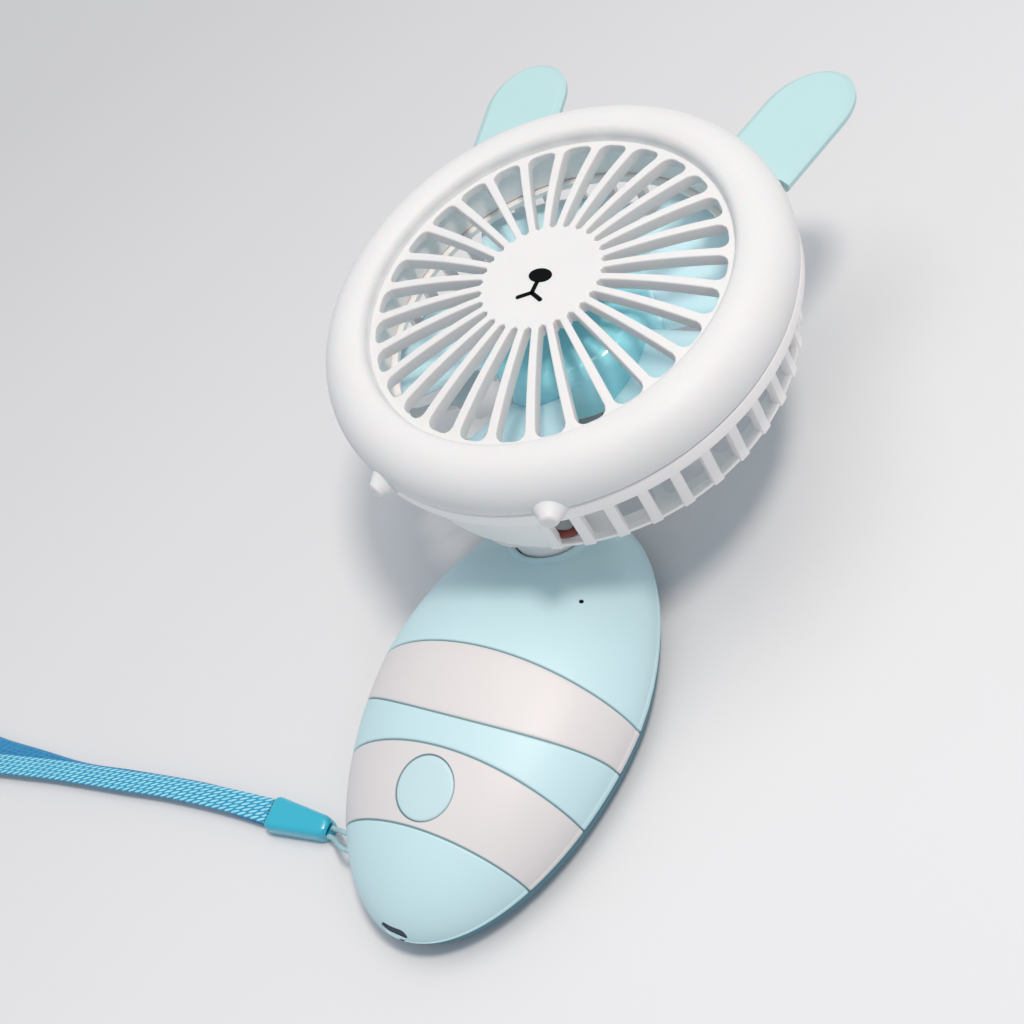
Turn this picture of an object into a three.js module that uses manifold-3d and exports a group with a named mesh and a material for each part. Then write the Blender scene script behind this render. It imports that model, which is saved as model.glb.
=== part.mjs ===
// A handheld electric fan that lies on its back with its head tilted up over the handle.
// Millimetres. X is the handle's side axis, Y runs along the handle toward the head, +Z is up.
// The origin is on the flat back of the handle, under the middle of its outline.
// In the head, heights are measured from the plane of the grille's slots.

import * as THREE from "three";
import { mergeVertices } from "three/addons/utils/BufferGeometryUtils.js";
import Module from "manifold-3d";

const wasm = await Module();
wasm.setup();

// Clearances and common values
const gap = 0.3;
const overrun = 6;
const weld = 1e-4;
const coarse = 12;
const fine = 56;

// Handle
const handleHalfLength = 51.8;
const handleHalfWidth = 31.8;
const crownHeight = 19.4;
const backDepth = 7;
const shellWall = 1.6;
const floorWall = 1.6;
const grooveWidth = 0.4;
const handleRows = 20;
const handleColumns = 16;
const headEndPowerShare = 1.62;
const tipPowerShare = 2.03;
const bellyShare = 0.087;
const endFlatShare = 0.0015;
const rimInset = 0.9;
const rimDrop = 0.7;
const baseInset = 7.5;
const backCurveShares = [[0.4, 0.42], [0.68, 0.16]];
const switchBodyShare = 0.7;
const neckWaistShares = [0.3, 0.4];
const braidFaceShare = 0.8;
const leadTensionShare = 0.4;

// Coloured bands, counted from the tip, and how far each groove bows at the handle's edge
const tipBandLength = 18.9;
const lowerBandLength = 16.7;
const middleBandLength = 6.6;
const upperBandLength = 16.2;
const tipGrooveBow = -3.5;
const lowerGrooveBow = -4.3;
const middleGrooveBow = 3.4;
const upperGrooveBow = -3;

// Button
const buttonRise = 8;
const buttonRadius = 6.6;
const buttonSideGap = 0.35;
const buttonFlangeRadius = 7.9;
const buttonFlangeTop = 18.9;
const buttonFlangeThickness = 1.2;
const buttonStemRadius = 2.2;
const buttonTravel = 0.5;

// Indicator light
const lightInset = 16.6;
const lightSetback = 14.8;
const lightRadius = 0.5;
const lightLength = 5;

// Electronics
const boardSideInset = 22.3;
const boardTipInset = 7.8;
const boardLength = 30;
const boardTop = 6.4;
const boardThickness = 1.4;
const boardPostRadius = 2;
const boardPostInset = 2.5;
const boardPostEndInset = 3;
const switchSide = 6;
const switchHeight = 3.5;
const plungerRadius = 1.75;
const usbOffset = -1.3;
const usbWidth = 8.2;
const usbHeight = 3;
const usbDepth = 7.4;
const usbWall = 0.4;
const usbInset = 1.8;
const batterySideInset = 14.8;
const batteryFrontGap = 2;
const batteryBackGap = 4.8;
const batteryHeight = 12;
const batteryLift = 3.6;
const batteryRibEndInset = 8;
const batteryRibSideInset = 5;
const batteryRibWidth = 1.6;

// Screws that hold the two halves of the handle
const headScrewSideInset = 10.3;
const headScrewRise = 5.9;
const tipScrewSideInset = 18.4;
const tipScrewInset = 15.2;
const screwShankRadius = 1;
const screwHeadRadius = 1.9;
const screwHeadHeight = 1.4;
const screwLength = 10;
const screwSink = 0.9;
const bossRadius = 3;

// Neck and tilt hinge
const hingeInset = 13.8;
const neckRadius = 7;
const neckBore = 2.6;
const notchClearance = 0.5;
const hingePinRadius = 1.5;
const hingeEarThickness = 2;
const hingeEarHalfDepth = 3.2;
const hingeEarCover = 0.7;
const hingeBaseThickness = 1.2;
const hingeBaseMargin = 0.6;
const hingeBaseLift = 4.9;
const hingePostX = 8;
const washerThickness = 0.6;
const washerRadius = 2.8;
const neckFlareRadius = 11;
const neckFlareHeight = 5;

// Head
const headReach = 36.2;
const headRise = 46.2;
const ringCoreRadius = 44.5;
const ringTubeRadius = 7.9;
const ringCoreZ = -4.5;
const coverWall = 1.5;
const partingZ = -7;
const grilleRadius = 40.5;
const grilleStepDraft = 0.15;
const bandDepth = 4;
const grilleThickness = 2.6;
const grilleDome = 3.6;
const hubDiscRadius = 11.1;
const slotCount = 28;
const slotInnerRadius = 13.2;
const slotOuterRadius = 39.2;
const ribOuterWidth = 2.15;
const ribInnerWidth = 1.6;
const slotCornerRadius = 2;
const nubX = 20;
const nubY = -48.7;
const nubZ = -6;
const nubRootRadius = 3.5;
const nubTipRadius = 2.1;
const skirtRadius = 40;
const skirtWall = 1.3;
const skirtBottomZ = -9.4;
const skirtTopZ = -1;
const nubReach = 57.3;
const nubRootReach = 50.4;

// Rear housing
const cageRadius = 47.2;
const cageWall = 1.6;
const ledgeRadius = 38.6;
const ledgeThickness = 1.2;
const cageRibCount = 40;
const cageRibWidth = 2.35;
const cageFirstAngle = -66.6;
const cageSolidHalfAngle = 14.4;
const windowTopZ = -11.4;
const windowBottomZ = -27.2;
const housingDepth = 29;
const rearThickness = 1.6;
const rearSlotCount = 20;
const rearInnerSlotCount = 12;
const motorSeatRadius = 14.4;
const rearMidRadius = 29;
const rearMidWidth = 2.4;
const rearRibWidth = 2.2;
const seatWall = 1.4;
const seatHeight = 7;

// Ears
const earTipX = 38.3;
const earTipY = 71;
const earTipZ = -8.1;
const earSplay = 13.3;
const earLean = 5.6;
const earHalfWidth = 10;
const earCapLength = 9.3;
const earThickness = 3;
const earChamfer = 0.9;
const earLength = 46;
const earRootRadius = 39.6;

// Motor and rotor
const motorRadius = 12;
const motorHeight = 9.5;
const shaftRadius = 1;
const shaftClearance = 0.35;
const rotorHubRadius = 19;
const rotorHubTop = -8;
const rotorHubDepth = 13.5;
const rotorHubWall = 1.5;
const rotorHubFillet = 3.4;
const rotorBossRadius = 3;
const rotorBossDepth = 5;
const bladeCount = 5;
const bladeFirstAngle = 120;
const bladeOuterRadius = 42.6;
const bladeThickness = 1.1;
const bladeLeadAngle = 28;
const bladeTrailAngle = -26;
const bladeFrontZ = -13.2;
const bladeRearZ = -21.4;
const bladeSteps = 5;
const leadRadius = 0.9;

// Strap
const strapCordRadius = 0.6;
const strapTunnelRadius = 1;
const strapPostSideInset = 13.3;
const strapPostTipInset = 15.3;
const strapPostRadius = 0.5;
const strapPostTop = 9;
const clampLength = 16.6;
const clampNoseWidth = 5.4;
const clampTailWidth = 8;
const clampHeight = 4.4;
const clampTurn = 1.5;
const clampX = -39.2;
const clampY = -33.9;
const clampZ = 2.35;
const clampRound = 1.2;
const braidHalfWidth = 2.5;
const braidHalfThickness = 0.75;
const braidSteps = 32;
const strapCordSteps = 22;

// Places that follow from these sizes
const tipY = -handleHalfLength;
const strapPostX = strapPostSideInset - handleHalfWidth;
const strapPostY = tipY + strapPostTipInset;
const tipGrooveY = tipY + tipBandLength;
const lowerGrooveY = tipGrooveY + lowerBandLength;
const middleGrooveY = lowerGrooveY + middleBandLength;
const upperGrooveY = middleGrooveY + upperBandLength;
const upperGroove = { middle: upperGrooveY, bow: upperGrooveBow };
const middleGroove = { middle: middleGrooveY, bow: middleGrooveBow };
const lowerGroove = { middle: lowerGrooveY, bow: lowerGrooveBow };
const tipGroove = { middle: tipGrooveY, bow: tipGrooveBow };
const buttonY = tipGrooveY + buttonRise;
const hingeY = handleHalfLength - hingeInset;
const hingeZ = backDepth + neckRadius + gap;
const headY = hingeY + headReach;
const headZ = hingeZ + headRise;
const lightX = handleHalfWidth - lightInset;
const lightY = hingeY - lightSetback;
const boardHalfWidth = handleHalfWidth - boardSideInset;
const boardTipY = tipY + boardTipInset;
const boardBackY = boardTipY + boardLength;
const boardPostX = boardHalfWidth - boardPostInset;
const boardPostYs = [boardTipY + boardPostEndInset, boardBackY - boardPostEndInset];
const usbFrontY = tipY + usbInset;
const batteryHalfWidth = handleHalfWidth - batterySideInset;
const batteryFrontY = boardBackY + batteryFrontGap;
const batteryBackY = hingeY - hingeEarHalfDepth - batteryBackGap;
const batteryRibYs = [batteryFrontY + batteryRibEndInset, batteryBackY - batteryRibEndInset];
const batteryRibHalfLength = batteryHalfWidth - batteryRibSideInset;
const screwPlaces = [
  { x: handleHalfWidth - headScrewSideInset, y: upperGrooveY + headScrewRise },
  { x: headScrewSideInset - handleHalfWidth, y: upperGrooveY + headScrewRise },
  { x: handleHalfWidth - tipScrewSideInset, y: tipY + tipScrewInset },
  { x: tipScrewSideInset - handleHalfWidth, y: tipY + tipScrewInset },
];

const centre = (x, y, z) => new THREE.Vector3(x, y, z);
const radians = THREE.MathUtils.degToRad;

// Turns a closed geometry into a solid that can be cut and joined.
const toSolid = (geometry) => {
  const bare = geometry.clone();
  bare.deleteAttribute("normal");
  bare.deleteAttribute("uv");
  const merged = mergeVertices(bare, weld);
  const corners = merged.index.array;
  const kept = [];
  for (let i = 0; i < corners.length; i += 3) {
    const [a, b, c] = [corners[i], corners[i + 1], corners[i + 2]];
    if (a !== b && b !== c && c !== a) kept.push(a, b, c);
  }
  return new wasm.Manifold(new wasm.Mesh({
    numProp: 3,
    vertProperties: new Float32Array(merged.attributes.position.array),
    triVerts: new Uint32Array(kept),
  }));
};

const toGeometry = (solid) => {
  const mesh = solid.getMesh();
  const places = new Float32Array(mesh.numVert * 3);
  for (let i = 0; i < mesh.numVert; i += 1) {
    for (let k = 0; k < 3; k += 1) places[i * 3 + k] = mesh.vertProperties[i * mesh.numProp + k];
  }
  const geometry = new THREE.BufferGeometry();
  geometry.setAttribute("position", new THREE.BufferAttribute(places, 3));
  geometry.setIndex(Array.from(mesh.triVerts));
  geometry.computeVertexNormals();
  return geometry;
};

// Joins rings of equal length into one closed skin, with a fan on each end ring.
const loft = (rings) => {
  const count = rings[0].length;
  const places = rings.flat();
  const corners = [];
  for (let i = 0; i + 1 < rings.length; i += 1) {
    for (let j = 0; j < count; j += 1) {
      const a = i * count + j;
      const b = i * count + ((j + 1) % count);
      corners.push(a, b, a + count, b, b + count, a + count);
    }
  }
  for (const [ring, flip] of [[0, true], [rings.length - 1, false]]) {
    const middle = new THREE.Vector3();
    for (const point of rings[ring]) middle.addScaledVector(point, 1 / count);
    places.push(middle);
    const hub = places.length - 1;
    for (let j = 0; j < count; j += 1) {
      const a = ring * count + j;
      const b = ring * count + ((j + 1) % count);
      if (flip) corners.push(hub, b, a);
      else corners.push(hub, a, b);
    }
  }
  const geometry = new THREE.BufferGeometry().setFromPoints(places);
  geometry.setIndex(corners);
  return geometry;
};

const boxAt = (x0, x1, y0, y1, z0, z1) => toSolid(
  new THREE.BoxGeometry(x1 - x0, y1 - y0, z1 - z0)
    .translate((x0 + x1) / 2, (y0 + y1) / 2, (z0 + z1) / 2),
);

// A round rod along Z.
const rodAt = (x, y, z0, z1, radius, sides = coarse) => toSolid(
  new THREE.CylinderGeometry(radius, radius, z1 - z0, sides)
    .rotateX(Math.PI / 2)
    .translate(x, y, (z0 + z1) / 2),
);

// A round rod along X.
const crossRodAt = (x0, x1, y, z, radius, sides = coarse) => toSolid(
  new THREE.CylinderGeometry(radius, radius, x1 - x0, sides)
    .rotateZ(Math.PI / 2)
    .translate((x0 + x1) / 2, y, z),
);

// A body of revolution about Z from a list of [radius, height] points that closes on itself.
// The section is turned round if its points run clockwise.
const turned = (profile, sides = fine) => {
  const points = profile.map(([r, z]) => new THREE.Vector2(r, z));
  const area = THREE.ShapeUtils.area(points);
  if (area < 0) points.reverse();
  if (points[0].x > 0 || points[points.length - 1].x > 0) points.push(points[0].clone());
  return toSolid(new THREE.LatheGeometry(points, sides).rotateX(Math.PI / 2));
};

// A flat outline of [x, y] points, raised from one height to another.
const raised = (outline, z0, z1) => toSolid(
  new THREE.ExtrudeGeometry(
    new THREE.Shape(outline.map(([x, y]) => new THREE.Vector2(x, y))),
    { depth: z1 - z0, bevelEnabled: false },
  ).translate(0, 0, z0),
);

const arcPoints = (x, y, radius, start, end, steps) => {
  const points = [];
  for (let i = 0; i <= steps; i += 1) {
    const angle = radians(start + ((end - start) * i) / steps);
    points.push([x + radius * Math.cos(angle), y + radius * Math.sin(angle)]);
  }
  return points;
};

const turnedAbout = (solid, degrees) => solid.rotate([0, 0, degrees]);

// How far apart two directions are, in degrees
const apart = (first, second) => {
  const turn = radians(first - second);
  return Math.abs(THREE.MathUtils.radToDeg(Math.atan2(Math.sin(turn), Math.cos(turn))));
};

// The handle's outline: how far it has narrowed, and where it lies, at a place from tip to head end
const narrowing = (place) => {
  const power = place > 0 ? headEndPowerShare : tipPowerShare;
  return Math.sqrt(1 - Math.abs(place) ** power);
};
const alongHandle = (place, halfLength) => (place + bellyShare * (1 - place * place)) * halfLength;
const endPlace = 1 - endFlatShare;

// The domed front of the handle, grown inward by an inset, with its flat side dropped by a depth
const handleDome = (inset, drop) => {
  const rings = [];
  for (let i = 0; i <= handleRows; i += 1) {
    const place = -endPlace * Math.cos((Math.PI * i) / handleRows);
    const size = narrowing(place);
    const y = alongHandle(place, handleHalfLength - inset);
    const ring = [];
    for (let j = 0; j <= handleColumns; j += 1) {
      const angle = (Math.PI * j) / handleColumns;
      const x = (handleHalfWidth - inset) * size * Math.cos(angle);
      ring.push(centre(x, y, backDepth + (crownHeight - inset) * size * Math.sin(angle)));
    }
    if (drop > 0) {
      ring.push(centre(-(handleHalfWidth - inset) * size, y, backDepth - drop));
      ring.push(centre((handleHalfWidth - inset) * size, y, backDepth - drop));
    }
    rings.push(ring.reverse());
  }
  return toSolid(loft(rings));
};

// The handle's plan outline at one height, drawn inward by an inset
const planRing = (inset, z) => {
  const ring = [];
  for (let i = 0; i < 2 * handleRows; i += 1) {
    const angle = (Math.PI * i) / handleRows;
    const place = -endPlace * Math.cos(angle);
    const x = (handleHalfWidth - inset) * narrowing(place) * Math.sign(Math.sin(angle) + weld);
    ring.push(centre(x, alongHandle(place, handleHalfLength - inset), z));
  }
  return ring;
};

const crownAt = (x, y) => {
  let low = -endPlace;
  let high = endPlace;
  for (let i = 0; i < 40; i += 1) {
    const middle = (low + high) / 2;
    if (alongHandle(middle, handleHalfLength) < y) low = middle;
    else high = middle;
  }
  const size = narrowing(low);
  const across = x / (handleHalfWidth * size);
  return backDepth + crownHeight * size * Math.sqrt(1 - across * across);
};

// The part of the handle between two grooves, as a tall block to cut the dome with
const bandBlock = (headSide, tipSide) => {
  const side = handleHalfWidth + overrun;
  const steps = 12;
  const edge = (groove, shift) => {
    const points = [];
    for (let i = 0; i <= steps; i += 1) {
      const x = -side + (2 * side * i) / steps;
      points.push([x, groove.middle + groove.bow * (x / handleHalfWidth) ** 2 + shift]);
    }
    return points;
  };
  const end = handleHalfLength + overrun;
  const far = headSide ? edge(headSide, -grooveWidth / 2) : [[-side, end], [side, end]];
  const near = tipSide ? edge(tipSide, grooveWidth / 2) : [[-side, -end], [side, -end]];
  return raised([...near, ...far.reverse()], -overrun, backDepth + crownHeight + overrun);
};

const outerDome = handleDome(0, 0);
const seamGap = gap / 2;
const aboveSeam = boxAt(
  -handleHalfWidth - overrun, handleHalfWidth + overrun,
  -handleHalfLength - overrun, handleHalfLength + overrun,
  backDepth + seamGap, backDepth + crownHeight + overrun,
);
const frontDome = outerDome.intersect(aboveSeam);
const frontSkin = frontDome.subtract(handleDome(shellWall, overrun));

// Hinge heights
const notchRadius = neckRadius + notchClearance;
const earInnerX = neckRadius + 2 * gap + washerThickness;
const earOuterX = earInnerX + hingeEarThickness;

// Strap cord: out of the clamp, through the handle's edge, round the post inside and back.
const strapCordPath = new THREE.CatmullRomCurve3([
  centre(-30.5, -33.2, 2.7),
  centre(-28.2, -33.6, 3.7),
  centre(-26, -34.2, 6.2),
  centre(-23.9, -34.7, 7.9),
  centre(-21.4, -34.8, 8),
  centre(-19.2, -34.7, 8),
  centre(-17.4, -35.6, 8),
  centre(-17.4, -37.3, 8),
  centre(-19, -38.2, 8),
  centre(-21.2, -38.2, 8),
  centre(-23.2, -37.8, 7.6),
  centre(-26, -36.6, 5.6),
  centre(-28.2, -35.7, 3.7),
  centre(-30.5, -35.2, 2.7),
]);

// The braid leaves the clamp on top, turns round past the edge of the table area and comes back below.
const braidPath = new THREE.CatmullRomCurve3([
  centre(-47.9, -33.9, 2.75),
  centre(-58, -34.2, 2.75),
  centre(-68, -34.8, 2.75),
  centre(-79, -35.8, 2.75),
  centre(-89, -37.1, 2.75),
  centre(-100, -38.4, 2.75),
  centre(-110, -39.6, 2.75),
  centre(-120.5, -41.2, 2.75),
  centre(-131, -43, 2.7),
  centre(-143, -46, 1.9),
  centre(-156, -49.2, 1),
  centre(-170, -51.4, 0.95),
  centre(-182, -48.6, 0.95),
  centre(-188.6, -40.6, 0.95),
  centre(-187.6, -31.4, 0.95),
  centre(-180, -26.6, 0.95),
  centre(-168, -28.4, 0.95),
  centre(-155, -33.4, 0.95),
  centre(-144, -37, 0.95),
  centre(-134, -38.3, 0.95),
  centre(-120.5, -38.2, 0.95),
  centre(-105, -38, 0.95),
  centre(-89, -36.1, 0.95),
  centre(-68, -34.1, 0.95),
  centre(-47.9, -33.9, 0.95),
]);

const ringShape = (radius, sides) => {
  const outline = [];
  for (let i = 0; i < sides; i += 1) {
    const angle = (2 * Math.PI * i) / sides;
    outline.push(new THREE.Vector2(radius * Math.cos(angle), radius * Math.sin(angle)));
  }
  return new THREE.Shape(outline);
};

const tube = (path, shape, steps) => new THREE.ExtrudeGeometry(shape, {
  steps,
  bevelEnabled: false,
  extrudePath: path,
});

const strapTunnel = toSolid(tube(strapCordPath, ringShape(strapTunnelRadius, 8), strapCordSteps));

// Screw bosses of the front half hang from its skin, those of the back half stand on its floor.
const frontBoss = ({ x, y }) => rodAt(x, y, backDepth + seamGap, backDepth + crownHeight, bossRadius)
  .intersect(frontDome)
  .subtract(rodAt(x, y, 0, screwLength + 2 * screwSink + gap, screwShankRadius + gap));
const backBoss = ({ x, y }) => rodAt(x, y, floorWall / 2, backDepth - seamGap, bossRadius);
const backBossHole = ({ x, y }) => rodAt(x, y, -overrun, backDepth + overrun, screwShankRadius + gap)
  .add(rodAt(x, y, -overrun, screwSink + screwHeadHeight + gap, screwHeadRadius + gap));

const usbCut = boxAt(
  usbOffset - usbWidth / 2 - gap, usbOffset + usbWidth / 2 + gap,
  -handleHalfLength - overrun, usbFrontY + usbDepth + gap,
  boardTop, boardTop + gap + usbHeight + gap,
);

const notchTop = backDepth + crownHeight + overrun;
const notch = rodAt(0, hingeY, backDepth - overrun, notchTop, notchRadius, 2 * coarse)
  .add(boxAt(
    -notchRadius, notchRadius,
    hingeY, handleHalfLength + overrun,
    backDepth - overrun, backDepth + crownHeight + overrun,
  ));

// Front half of the handle, in five coloured pieces
const makeTopShell = () => frontSkin
  .intersect(bandBlock(null, upperGroove))
  .add(frontBoss(screwPlaces[0]))
  .add(frontBoss(screwPlaces[1]))
  .subtract(notch)
  .subtract(rodAt(lightX, lightY, 0, backDepth + crownHeight, lightRadius + gap, 12));
const makeUpperBand = () => frontSkin.intersect(bandBlock(upperGroove, middleGroove));
const makeMiddleBand = () => frontSkin.intersect(bandBlock(middleGroove, lowerGroove));
const makeLowerBand = () => frontSkin
  .intersect(bandBlock(lowerGroove, tipGroove))
  .subtract(strapTunnel)
  .subtract(rodAt(0, buttonY, 0, backDepth + crownHeight, buttonRadius + buttonSideGap, 2 * coarse));
const makeTipShell = () => frontSkin
  .intersect(bandBlock(tipGroove, null))
  .add(frontBoss(screwPlaces[2]))
  .add(frontBoss(screwPlaces[3]))
  .subtract(strapTunnel)
  .subtract(usbCut);

// Back half of the handle: a shallow dish with bosses, board posts and the strap post
const makeBackShell = () => {
  const top = backDepth - seamGap;
  const heights = [top, top - rimDrop, ...backCurveShares.map(([, up]) => up * top), 0];
  const insets = [rimInset, rimInset, ...backCurveShares.map(([across]) => across * baseInset), baseInset];
  const dish = toSolid(loft(heights.map((z, i) => planRing(insets[i], z)).reverse()));
  const hollow = toSolid(loft(heights.map((z, i) => planRing(
    insets[i] + shellWall,
    i === 0 ? z + overrun : floorWall + (z * (top - floorWall)) / top,
  )).reverse()));
  let shell = dish.subtract(hollow);
  for (const place of screwPlaces) shell = shell.add(backBoss(place));
  for (const y of boardPostYs) {
    for (const x of [-boardPostX, boardPostX]) {
      shell = shell.add(rodAt(x, y, floorWall / 2, boardTop - boardThickness - gap, boardPostRadius, 8));
    }
  }
  for (const y of batteryRibYs) {
    shell = shell.add(boxAt(
      -batteryRibHalfLength, batteryRibHalfLength,
      y - batteryRibWidth / 2, y + batteryRibWidth / 2,
      floorWall / 2, batteryLift - gap,
    ));
  }
  for (const x of [-hingePostX, hingePostX]) {
    shell = shell.add(rodAt(x, hingeY, floorWall / 2, hingeBaseLift - gap, boardPostRadius, 8));
  }
  shell = shell.add(rodAt(strapPostX, strapPostY, floorWall / 2, strapPostTop, strapPostRadius, 8));
  for (const place of screwPlaces) shell = shell.subtract(backBossHole(place));
  return shell.subtract(usbCut);
};

const makeScrew = ({ x, y }) => rodAt(x, y, screwSink, screwSink + screwHeadHeight, screwHeadRadius, 12)
  .add(rodAt(x, y, screwSink, screwSink + screwLength, screwShankRadius, 8));

const makeButton = () => {
  const flangeBottom = buttonFlangeTop - buttonFlangeThickness;
  const stemBottom = boardTop + gap + switchHeight + gap + buttonTravel;
  return rodAt(0, buttonY, flangeBottom, backDepth + crownHeight + overrun, buttonRadius, 2 * coarse)
    .intersect(outerDome)
    .add(rodAt(0, buttonY, flangeBottom, buttonFlangeTop, buttonFlangeRadius, 2 * coarse))
    .add(rodAt(0, buttonY, stemBottom, flangeBottom + gap, buttonStemRadius, 12));
};

const makeLight = () => {
  const top = crownAt(lightX, lightY);
  return rodAt(lightX, lightY, top - lightLength, top + overrun, lightRadius, 8).intersect(outerDome);
};

const makeBoard = () => boxAt(
  -boardHalfWidth, boardHalfWidth, boardTipY, boardBackY, boardTop - boardThickness, boardTop,
);

const makeSwitch = () => {
  const bottom = boardTop + gap;
  const half = switchSide / 2;
  const plungerStart = bottom + switchHeight * switchBodyShare;
  return boxAt(-half, half, buttonY - half, buttonY + half, bottom, plungerStart)
    .add(rodAt(0, buttonY, plungerStart - gap, bottom + switchHeight, plungerRadius, 12));
};

const makeUsbSocket = () => {
  const bottom = boardTop + gap;
  const [left, right] = [usbOffset - usbWidth / 2, usbOffset + usbWidth / 2];
  return boxAt(left, right, usbFrontY, usbFrontY + usbDepth, bottom, bottom + usbHeight)
    .subtract(boxAt(
      left + usbWall, right - usbWall,
      usbFrontY - overrun, usbFrontY + usbDepth - usbWall * 2,
      bottom + usbWall, bottom + usbHeight - usbWall,
    ));
};

const makeBattery = () => boxAt(
  -batteryHalfWidth, batteryHalfWidth,
  batteryFrontY, batteryBackY,
  batteryLift, batteryLift + batteryHeight,
);

// Tilt hinge
const makeHingeBracket = () => {
  const base = boxAt(
    -earOuterX - hingeBaseMargin, earOuterX + hingeBaseMargin,
    hingeY - hingeEarHalfDepth, hingeY + hingeEarHalfDepth,
    hingeBaseLift, hingeBaseLift + hingeBaseThickness,
  );
  const top = hingeZ + hingePinRadius + hingeEarCover;
  const ear = (x0, x1) => boxAt(
    x0, x1, hingeY - hingeEarHalfDepth, hingeY + hingeEarHalfDepth, hingeBaseLift, hingeZ,
  ).add(crossRodAt(x0, x1, hingeY, hingeZ, top - hingeZ));
  return base
    .add(ear(earInnerX, earOuterX))
    .add(ear(-earOuterX, -earInnerX))
    .subtract(crossRodAt(-earOuterX - overrun, earOuterX + overrun, hingeY, hingeZ, hingePinRadius + gap));
};

const makeHingePin = () => crossRodAt(-earOuterX, earOuterX, hingeY, hingeZ, hingePinRadius);

const makeWasher = (side) => {
  const inner = side * (neckRadius + gap);
  const outer = side * (neckRadius + gap + washerThickness);
  const [x0, x1] = side > 0 ? [inner, outer] : [outer, inner];
  return crossRodAt(x0, x1, hingeY, hingeZ, washerRadius)
    .subtract(crossRodAt(x0 - gap, x1 + gap, hingeY, hingeZ, hingePinRadius + gap));
};

// The neck post rises from the hinge to the rear housing, with a bore for the motor's lead.
const neckTop = headZ - housingDepth - gap;
const makeNeckPost = () => {
  const ball = new THREE.SphereGeometry(neckRadius, 2 * coarse, coarse);
  const knuckle = toSolid(ball.translate(0, hingeY, hingeZ));
  const flare = turned([
    [0, neckTop - neckFlareHeight],
    [neckRadius, neckTop - neckFlareHeight],
    [
      neckRadius + (neckFlareRadius - neckRadius) * neckWaistShares[0],
      neckTop - neckFlareHeight * neckWaistShares[1],
    ],
    [neckFlareRadius, neckTop],
    [0, neckTop],
  ], 2 * coarse).translate([0, hingeY, 0]);
  return rodAt(0, hingeY, hingeZ, neckTop, neckRadius, 2 * coarse)
    .add(knuckle)
    .add(flare)
    .subtract(rodAt(0, hingeY, hingeZ + neckRadius, neckTop + overrun, neckBore, 12))
    .subtract(crossRodAt(-neckRadius - overrun, neckRadius + overrun, hingeY, hingeZ, hingePinRadius + gap));
};

// Front cover: domed grille and hollow rounded ring in one moulding
const ringArc = (radius, start, end, steps) => {
  const points = [];
  for (let i = 0; i <= steps; i += 1) {
    const angle = radians(start + ((end - start) * i) / steps);
    points.push([ringCoreRadius + radius * Math.cos(angle), ringCoreZ + radius * Math.sin(angle)]);
  }
  return points;
};
const grilleTop = (r) => {
  const share = Math.max(r - hubDiscRadius, 0) / (grilleRadius - hubDiscRadius);
  return grilleDome * (1 - share * share);
};
const degreesOf = (height, radius) => THREE.MathUtils.radToDeg(Math.asin(height / radius));
const degreesAt = (reach, radius) => THREE.MathUtils.radToDeg(Math.acos(reach / radius));

const slotOutline = (inner, outer, ribAtInner, ribAtOuter, count, corner) => {
  const halfAt = (r, rib) => Math.tan(Math.PI / count) * r - rib / 2 / Math.cos(Math.PI / count);
  const innerHalf = halfAt(inner, ribAtInner);
  const outerHalf = halfAt(outer, ribAtOuter);
  const slope = (outerHalf - innerHalf) / (outer - inner);
  const shoulder = outer - corner;
  const half = innerHalf + slope * (shoulder - inner);
  return [
    [inner, -innerHalf],
    [shoulder, -half],
    ...arcPoints(shoulder, corner - half, corner, -60, 0, 2),
    ...arcPoints(shoulder, half - corner, corner, 0, 60, 2),
    [shoulder, half],
    [inner, innerHalf],
  ];
};

const makeFrontCover = () => {
  const innerRadius = ringTubeRadius - coverWall;
  const outerEnd = degreesOf(partingZ - ringCoreZ, ringTubeRadius);
  const outerStart = degreesAt(grilleRadius + grilleStepDraft - ringCoreRadius, ringTubeRadius);
  const innerEnd = degreesOf(partingZ - ringCoreZ, innerRadius);
  const innerStart = degreesAt(grilleRadius + coverWall - ringCoreRadius, innerRadius);
  const domeSteps = 3;
  const top = [];
  const under = [];
  for (let i = 0; i <= domeSteps; i += 1) {
    const r = hubDiscRadius + ((grilleRadius - hubDiscRadius) * i) / domeSteps;
    top.push([r, grilleTop(r)]);
    under.push([r, grilleTop(r) - grilleThickness]);
  }
  let cover = turned([
    [0, grilleDome],
    ...top,
    ...ringArc(ringTubeRadius, outerStart, outerEnd, 9),
    ...ringArc(innerRadius, innerEnd, innerStart, 4),
    [grilleRadius + coverWall, -coverWall],
    ...under.reverse(),
    [0, grilleDome - grilleThickness],
  ]);
  const slot = raised(
    slotOutline(slotInnerRadius, slotOuterRadius, ribInnerWidth, ribOuterWidth, slotCount, slotCornerRadius),
    -ringTubeRadius,
    grilleDome + overrun,
  );
  for (let i = 0; i < slotCount; i += 1) {
    cover = cover.subtract(turnedAbout(slot, 90 + (360 * i) / slotCount));
  }
  cover = cover.add(turned([
    [skirtRadius, skirtBottomZ],
    [skirtRadius + skirtWall, skirtBottomZ],
    [skirtRadius + skirtWall, skirtTopZ],
    [skirtRadius, skirtTopZ],
  ]));
  for (const side of [-1, 1]) {
    const lean = Math.atan2(nubY, side * nubX);
    const nub = toSolid(
      new THREE.CylinderGeometry(nubTipRadius, nubRootRadius, nubReach - nubRootReach, coarse)
        .rotateZ(-Math.PI / 2)
        .translate((nubReach + nubRootReach) / 2, 0, nubZ)
        .rotateZ(lean),
    ).subtract(rodAt(0, 0, partingZ - overrun, partingZ, ringCoreRadius + ringTubeRadius + gap, fine));
    cover = cover.add(nub);
  }
  return cover;
};

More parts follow.
